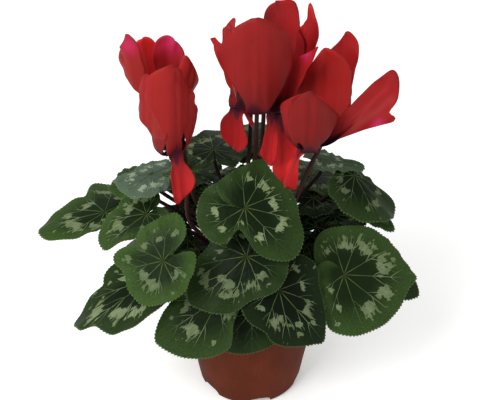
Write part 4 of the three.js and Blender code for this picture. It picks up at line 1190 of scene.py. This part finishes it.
def make_pot(finish):
    """The pot's thin wall with its turned-out lip, turned fine, and the arched notches cut out of it."""
    base, top, brim = POT_BASE_RADIUS, POT_TOP_RADIUS, POT_TOP_RADIUS - POT_WALL
    outside = [(base - BASE_CORNER, 0), (base - 1.4, 0.15), (base - 0.6, 0.6),
               (pot_wall_at(1.4) - 0.15, 1.4), (pot_wall_at(BASE_CORNER), BASE_CORNER)]
    outside += [(pot_wall_at(z), z) for z in np.linspace(8, UNDER_LIP - 1, 10)]
    outside += [(pot_wall_at(UNDER_LIP), UNDER_LIP), (top - 1.2, UNDER_LIP + 0.25),
                (top - 0.5, UNDER_LIP + 0.9), (top, POT_HEIGHT - 0.7), (top - 0.2, POT_HEIGHT - 0.15),
                (top - 0.65, POT_HEIGHT), (top - 1.1, POT_HEIGHT - 0.15)]
    inside = [(brim, POT_HEIGHT - 0.6), (brim - 0.4, UNDER_LIP + 1.8), (brim - 1.2, UNDER_LIP + 1.2),
              (pot_wall_at(UNDER_LIP) - POT_WALL, UNDER_LIP)]
    inside += [(pot_wall_at(z) - POT_WALL, z) for z in np.linspace(UNDER_LIP - 2, 8, 10)]
    inside += [(pot_wall_at(BASE_CORNER) - POT_WALL - 0.2, BASE_CORNER), (base - BASE_CORNER - 1, POT_WALL)]
    form = Form()
    form.add(*turned([(0, 0), *outside, *inside, (0, POT_WALL)], 120))
    pot = form.make("pot_shell", (finish,), ["pot"])

    # Each notch is an arch whose sides spring from NOTCH_SPRING and round off to its top.
    half = NOTCH_WIDTH / 2
    arch = [(-half, -1), (half, -1), (half, NOTCH_SPRING)]
    for s in np.linspace(0, 1, 9)[1:]:
        arch.append(((1 - s) ** 2 * half + 2 * s * (1 - s) * half,
                     (1 - s) ** 2 * NOTCH_SPRING + (2 * s * (1 - s) + s * s) * NOTCH_HEIGHT))
    arch += [(-x, z) for x, z in arch[-2:2:-1]] + [(-half, NOTCH_SPRING)]
    n = len(arch)
    sides = [(j, (j + 1) % n, n + (j + 1) % n, n + j) for j in range(n)]
    sides += [tuple(range(n - 1, -1, -1)), tuple(range(n, 2 * n))]
    cutter = Form()
    for i in range(NOTCH_COUNT):
        out = direction(NOTCH_FIRST_ANGLE + i * 360 / NOTCH_COUNT)
        along = np.array([-out[1], out[0], 0])
        near = [out * (base - NOTCH_DEPTH) + along * x + UPWARDS * z for x, z in arch]
        cutter.add(near + [p + out * NOTCH_CUT for p in near], sides)
    tool = cutter.make("notch_tool", (finish,), [])
    cut = pot.modifiers.new("notches", "BOOLEAN")
    cut.operation = "DIFFERENCE"
    cut.object = tool
    cut.solver = "EXACT"
    bpy.context.view_layer.update()
    shaped = bpy.data.meshes.new_from_object(pot.evaluated_get(bpy.context.evaluated_depsgraph_get()))
    pot.modifiers.clear()
    pot.data = shaped
    bpy.data.objects.remove(tool)
    shaped.polygons.foreach_set("use_smooth", np.ones(len(shaped.polygons), bool))
    shaped.set_sharp_from_angle(angle=math.radians(32))
    return pot


def make_soil(finish):
    """The plug of potting mix: a tapered body, a crumbly top, and crumbs lying on it."""
    draw = random.Random(2)

    def inside(z):
        return pot_wall_at(z) - POT_WALL - SOIL_GAP

    bottom, edge = POT_WALL + SOIL_GAP, inside(SOIL_LEVEL)
    profile = [(0, bottom), (POT_BASE_RADIUS - BASE_CORNER - 2.5, bottom), (inside(9) - 3, 8)]
    profile += [(inside(z), z) for z in (12, 30, 48, 66)] + [(edge - 0.4, SOIL_LEVEL - 1.5)]
    profile += [(r, SOIL_LEVEL) for r in np.linspace(edge - 2, 3, 22)] + [(0, SOIL_LEVEL)]
    points, faces = turned(profile, 90)
    for p in points:
        if p[2] > SOIL_LEVEL - 1:
            swell = SOIL_SWELL * math.sin(p[0] * 0.31 + 1) * math.cos(p[1] * 0.27)
            p[2] += swell + draw.uniform(-SOIL_ROUGHNESS, SOIL_ROUGHNESS)
    form = Form()
    form.add(points, faces)
    for _ in range(CRUMB_COUNT):
        r = CRUMB_RING[0] + (CRUMB_RING[1] - CRUMB_RING[0]) * math.sqrt(draw.random())
        a = draw.uniform(0, 2 * math.pi)
        size = draw.uniform(*CRUMB_SIZE)
        centre = np.array([r * math.cos(a), r * math.sin(a), SOIL_LEVEL + 0.4])
        lump, sides = turned(CRUMB, 6)
        squash = [draw.uniform(low, high) for low, high in ((0.7, 1.4), (0.7, 1.4), (0.6, 1))]
        form.add(lump * np.array(squash) * size + centre, sides)
    return form.make("soil_plug", (finish,), ["soil"])


def make_tuber_and_stalks(leaves, cork, skin):
    """The tuber with every leaf stalk growing from its crown."""
    middle = (TUBER_TOP + TUBER_BOTTOM) / 2
    half = (TUBER_TOP - TUBER_BOTTOM) / 2
    arc = np.linspace(-math.pi / 2, math.pi / 2, 17)[1:-1]
    rind = [(TUBER_RADIUS * math.cos(a), middle + half * math.sin(a)) for a in arc]
    form = Form()
    form.add(*turned([(0, TUBER_BOTTOM), *rind, (0, TUBER_TOP)], 36))
    for leaf in leaves.values():
        path = leaf_stalk_path(leaf)
        radii = np.interp(np.linspace(0, 1, len(path)), *zip(*LEAF_STALK_RADII))
        add_stalk(form, path, radii, 10, leaf["root"], 1)
    return form.make("tuber_and_leaf_stalks", (cork, skin), ["tuber_with_leaf_stalks"])


# The plant

bpy.context.scene.view_settings.view_transform = "Standard"
set_camera()
set_light()
bpy.ops.mesh.primitive_plane_add(size=6, location=(0, 0, 0))
floor = bpy.context.object
floor.name = "studio_floor"
floor.data.materials.append(floor_paper())

make_pot(pot_plastic())
make_soil(potting_mix())
leaves = {name: dressed_leaf(name, leaf) for name, leaf in {**LEAVES, **back_leaves()}.items()}
stalk = stalk_skin()
make_tuber_and_stalks(leaves, tuber_cork(), stalk)
blade_finishes = (leaf_upper(), leaf_underside(), leaf_vein())
for name, leaf in leaves.items():
    blade = Form()
    blade_skins(blade, leaf)
    vein_cords(blade, leaf)
    blade.make(name + "_blade", blade_finishes, [name])
make_young_leaves((*blade_finishes, stalk))
# The face of a petal that looks at the flower's middle is the brighter one.
flower_finishes = {
    "petal_inner": petal_face("petal_tissue_inner_face", "#700f11", "#8c1515", "#9a1819", "#b4214e"),
    "petal_outer": petal_face("petal_tissue_outer_face", "#660e0d", "#7f120e", "#861512", "#a81f48"),
    "throat": throat_lining(),
    "stalk": stalk,
}
for number, (name, flower) in enumerate(FLOWERS.items()):
    flower_pieces(name, flower, number, flower_finishes)
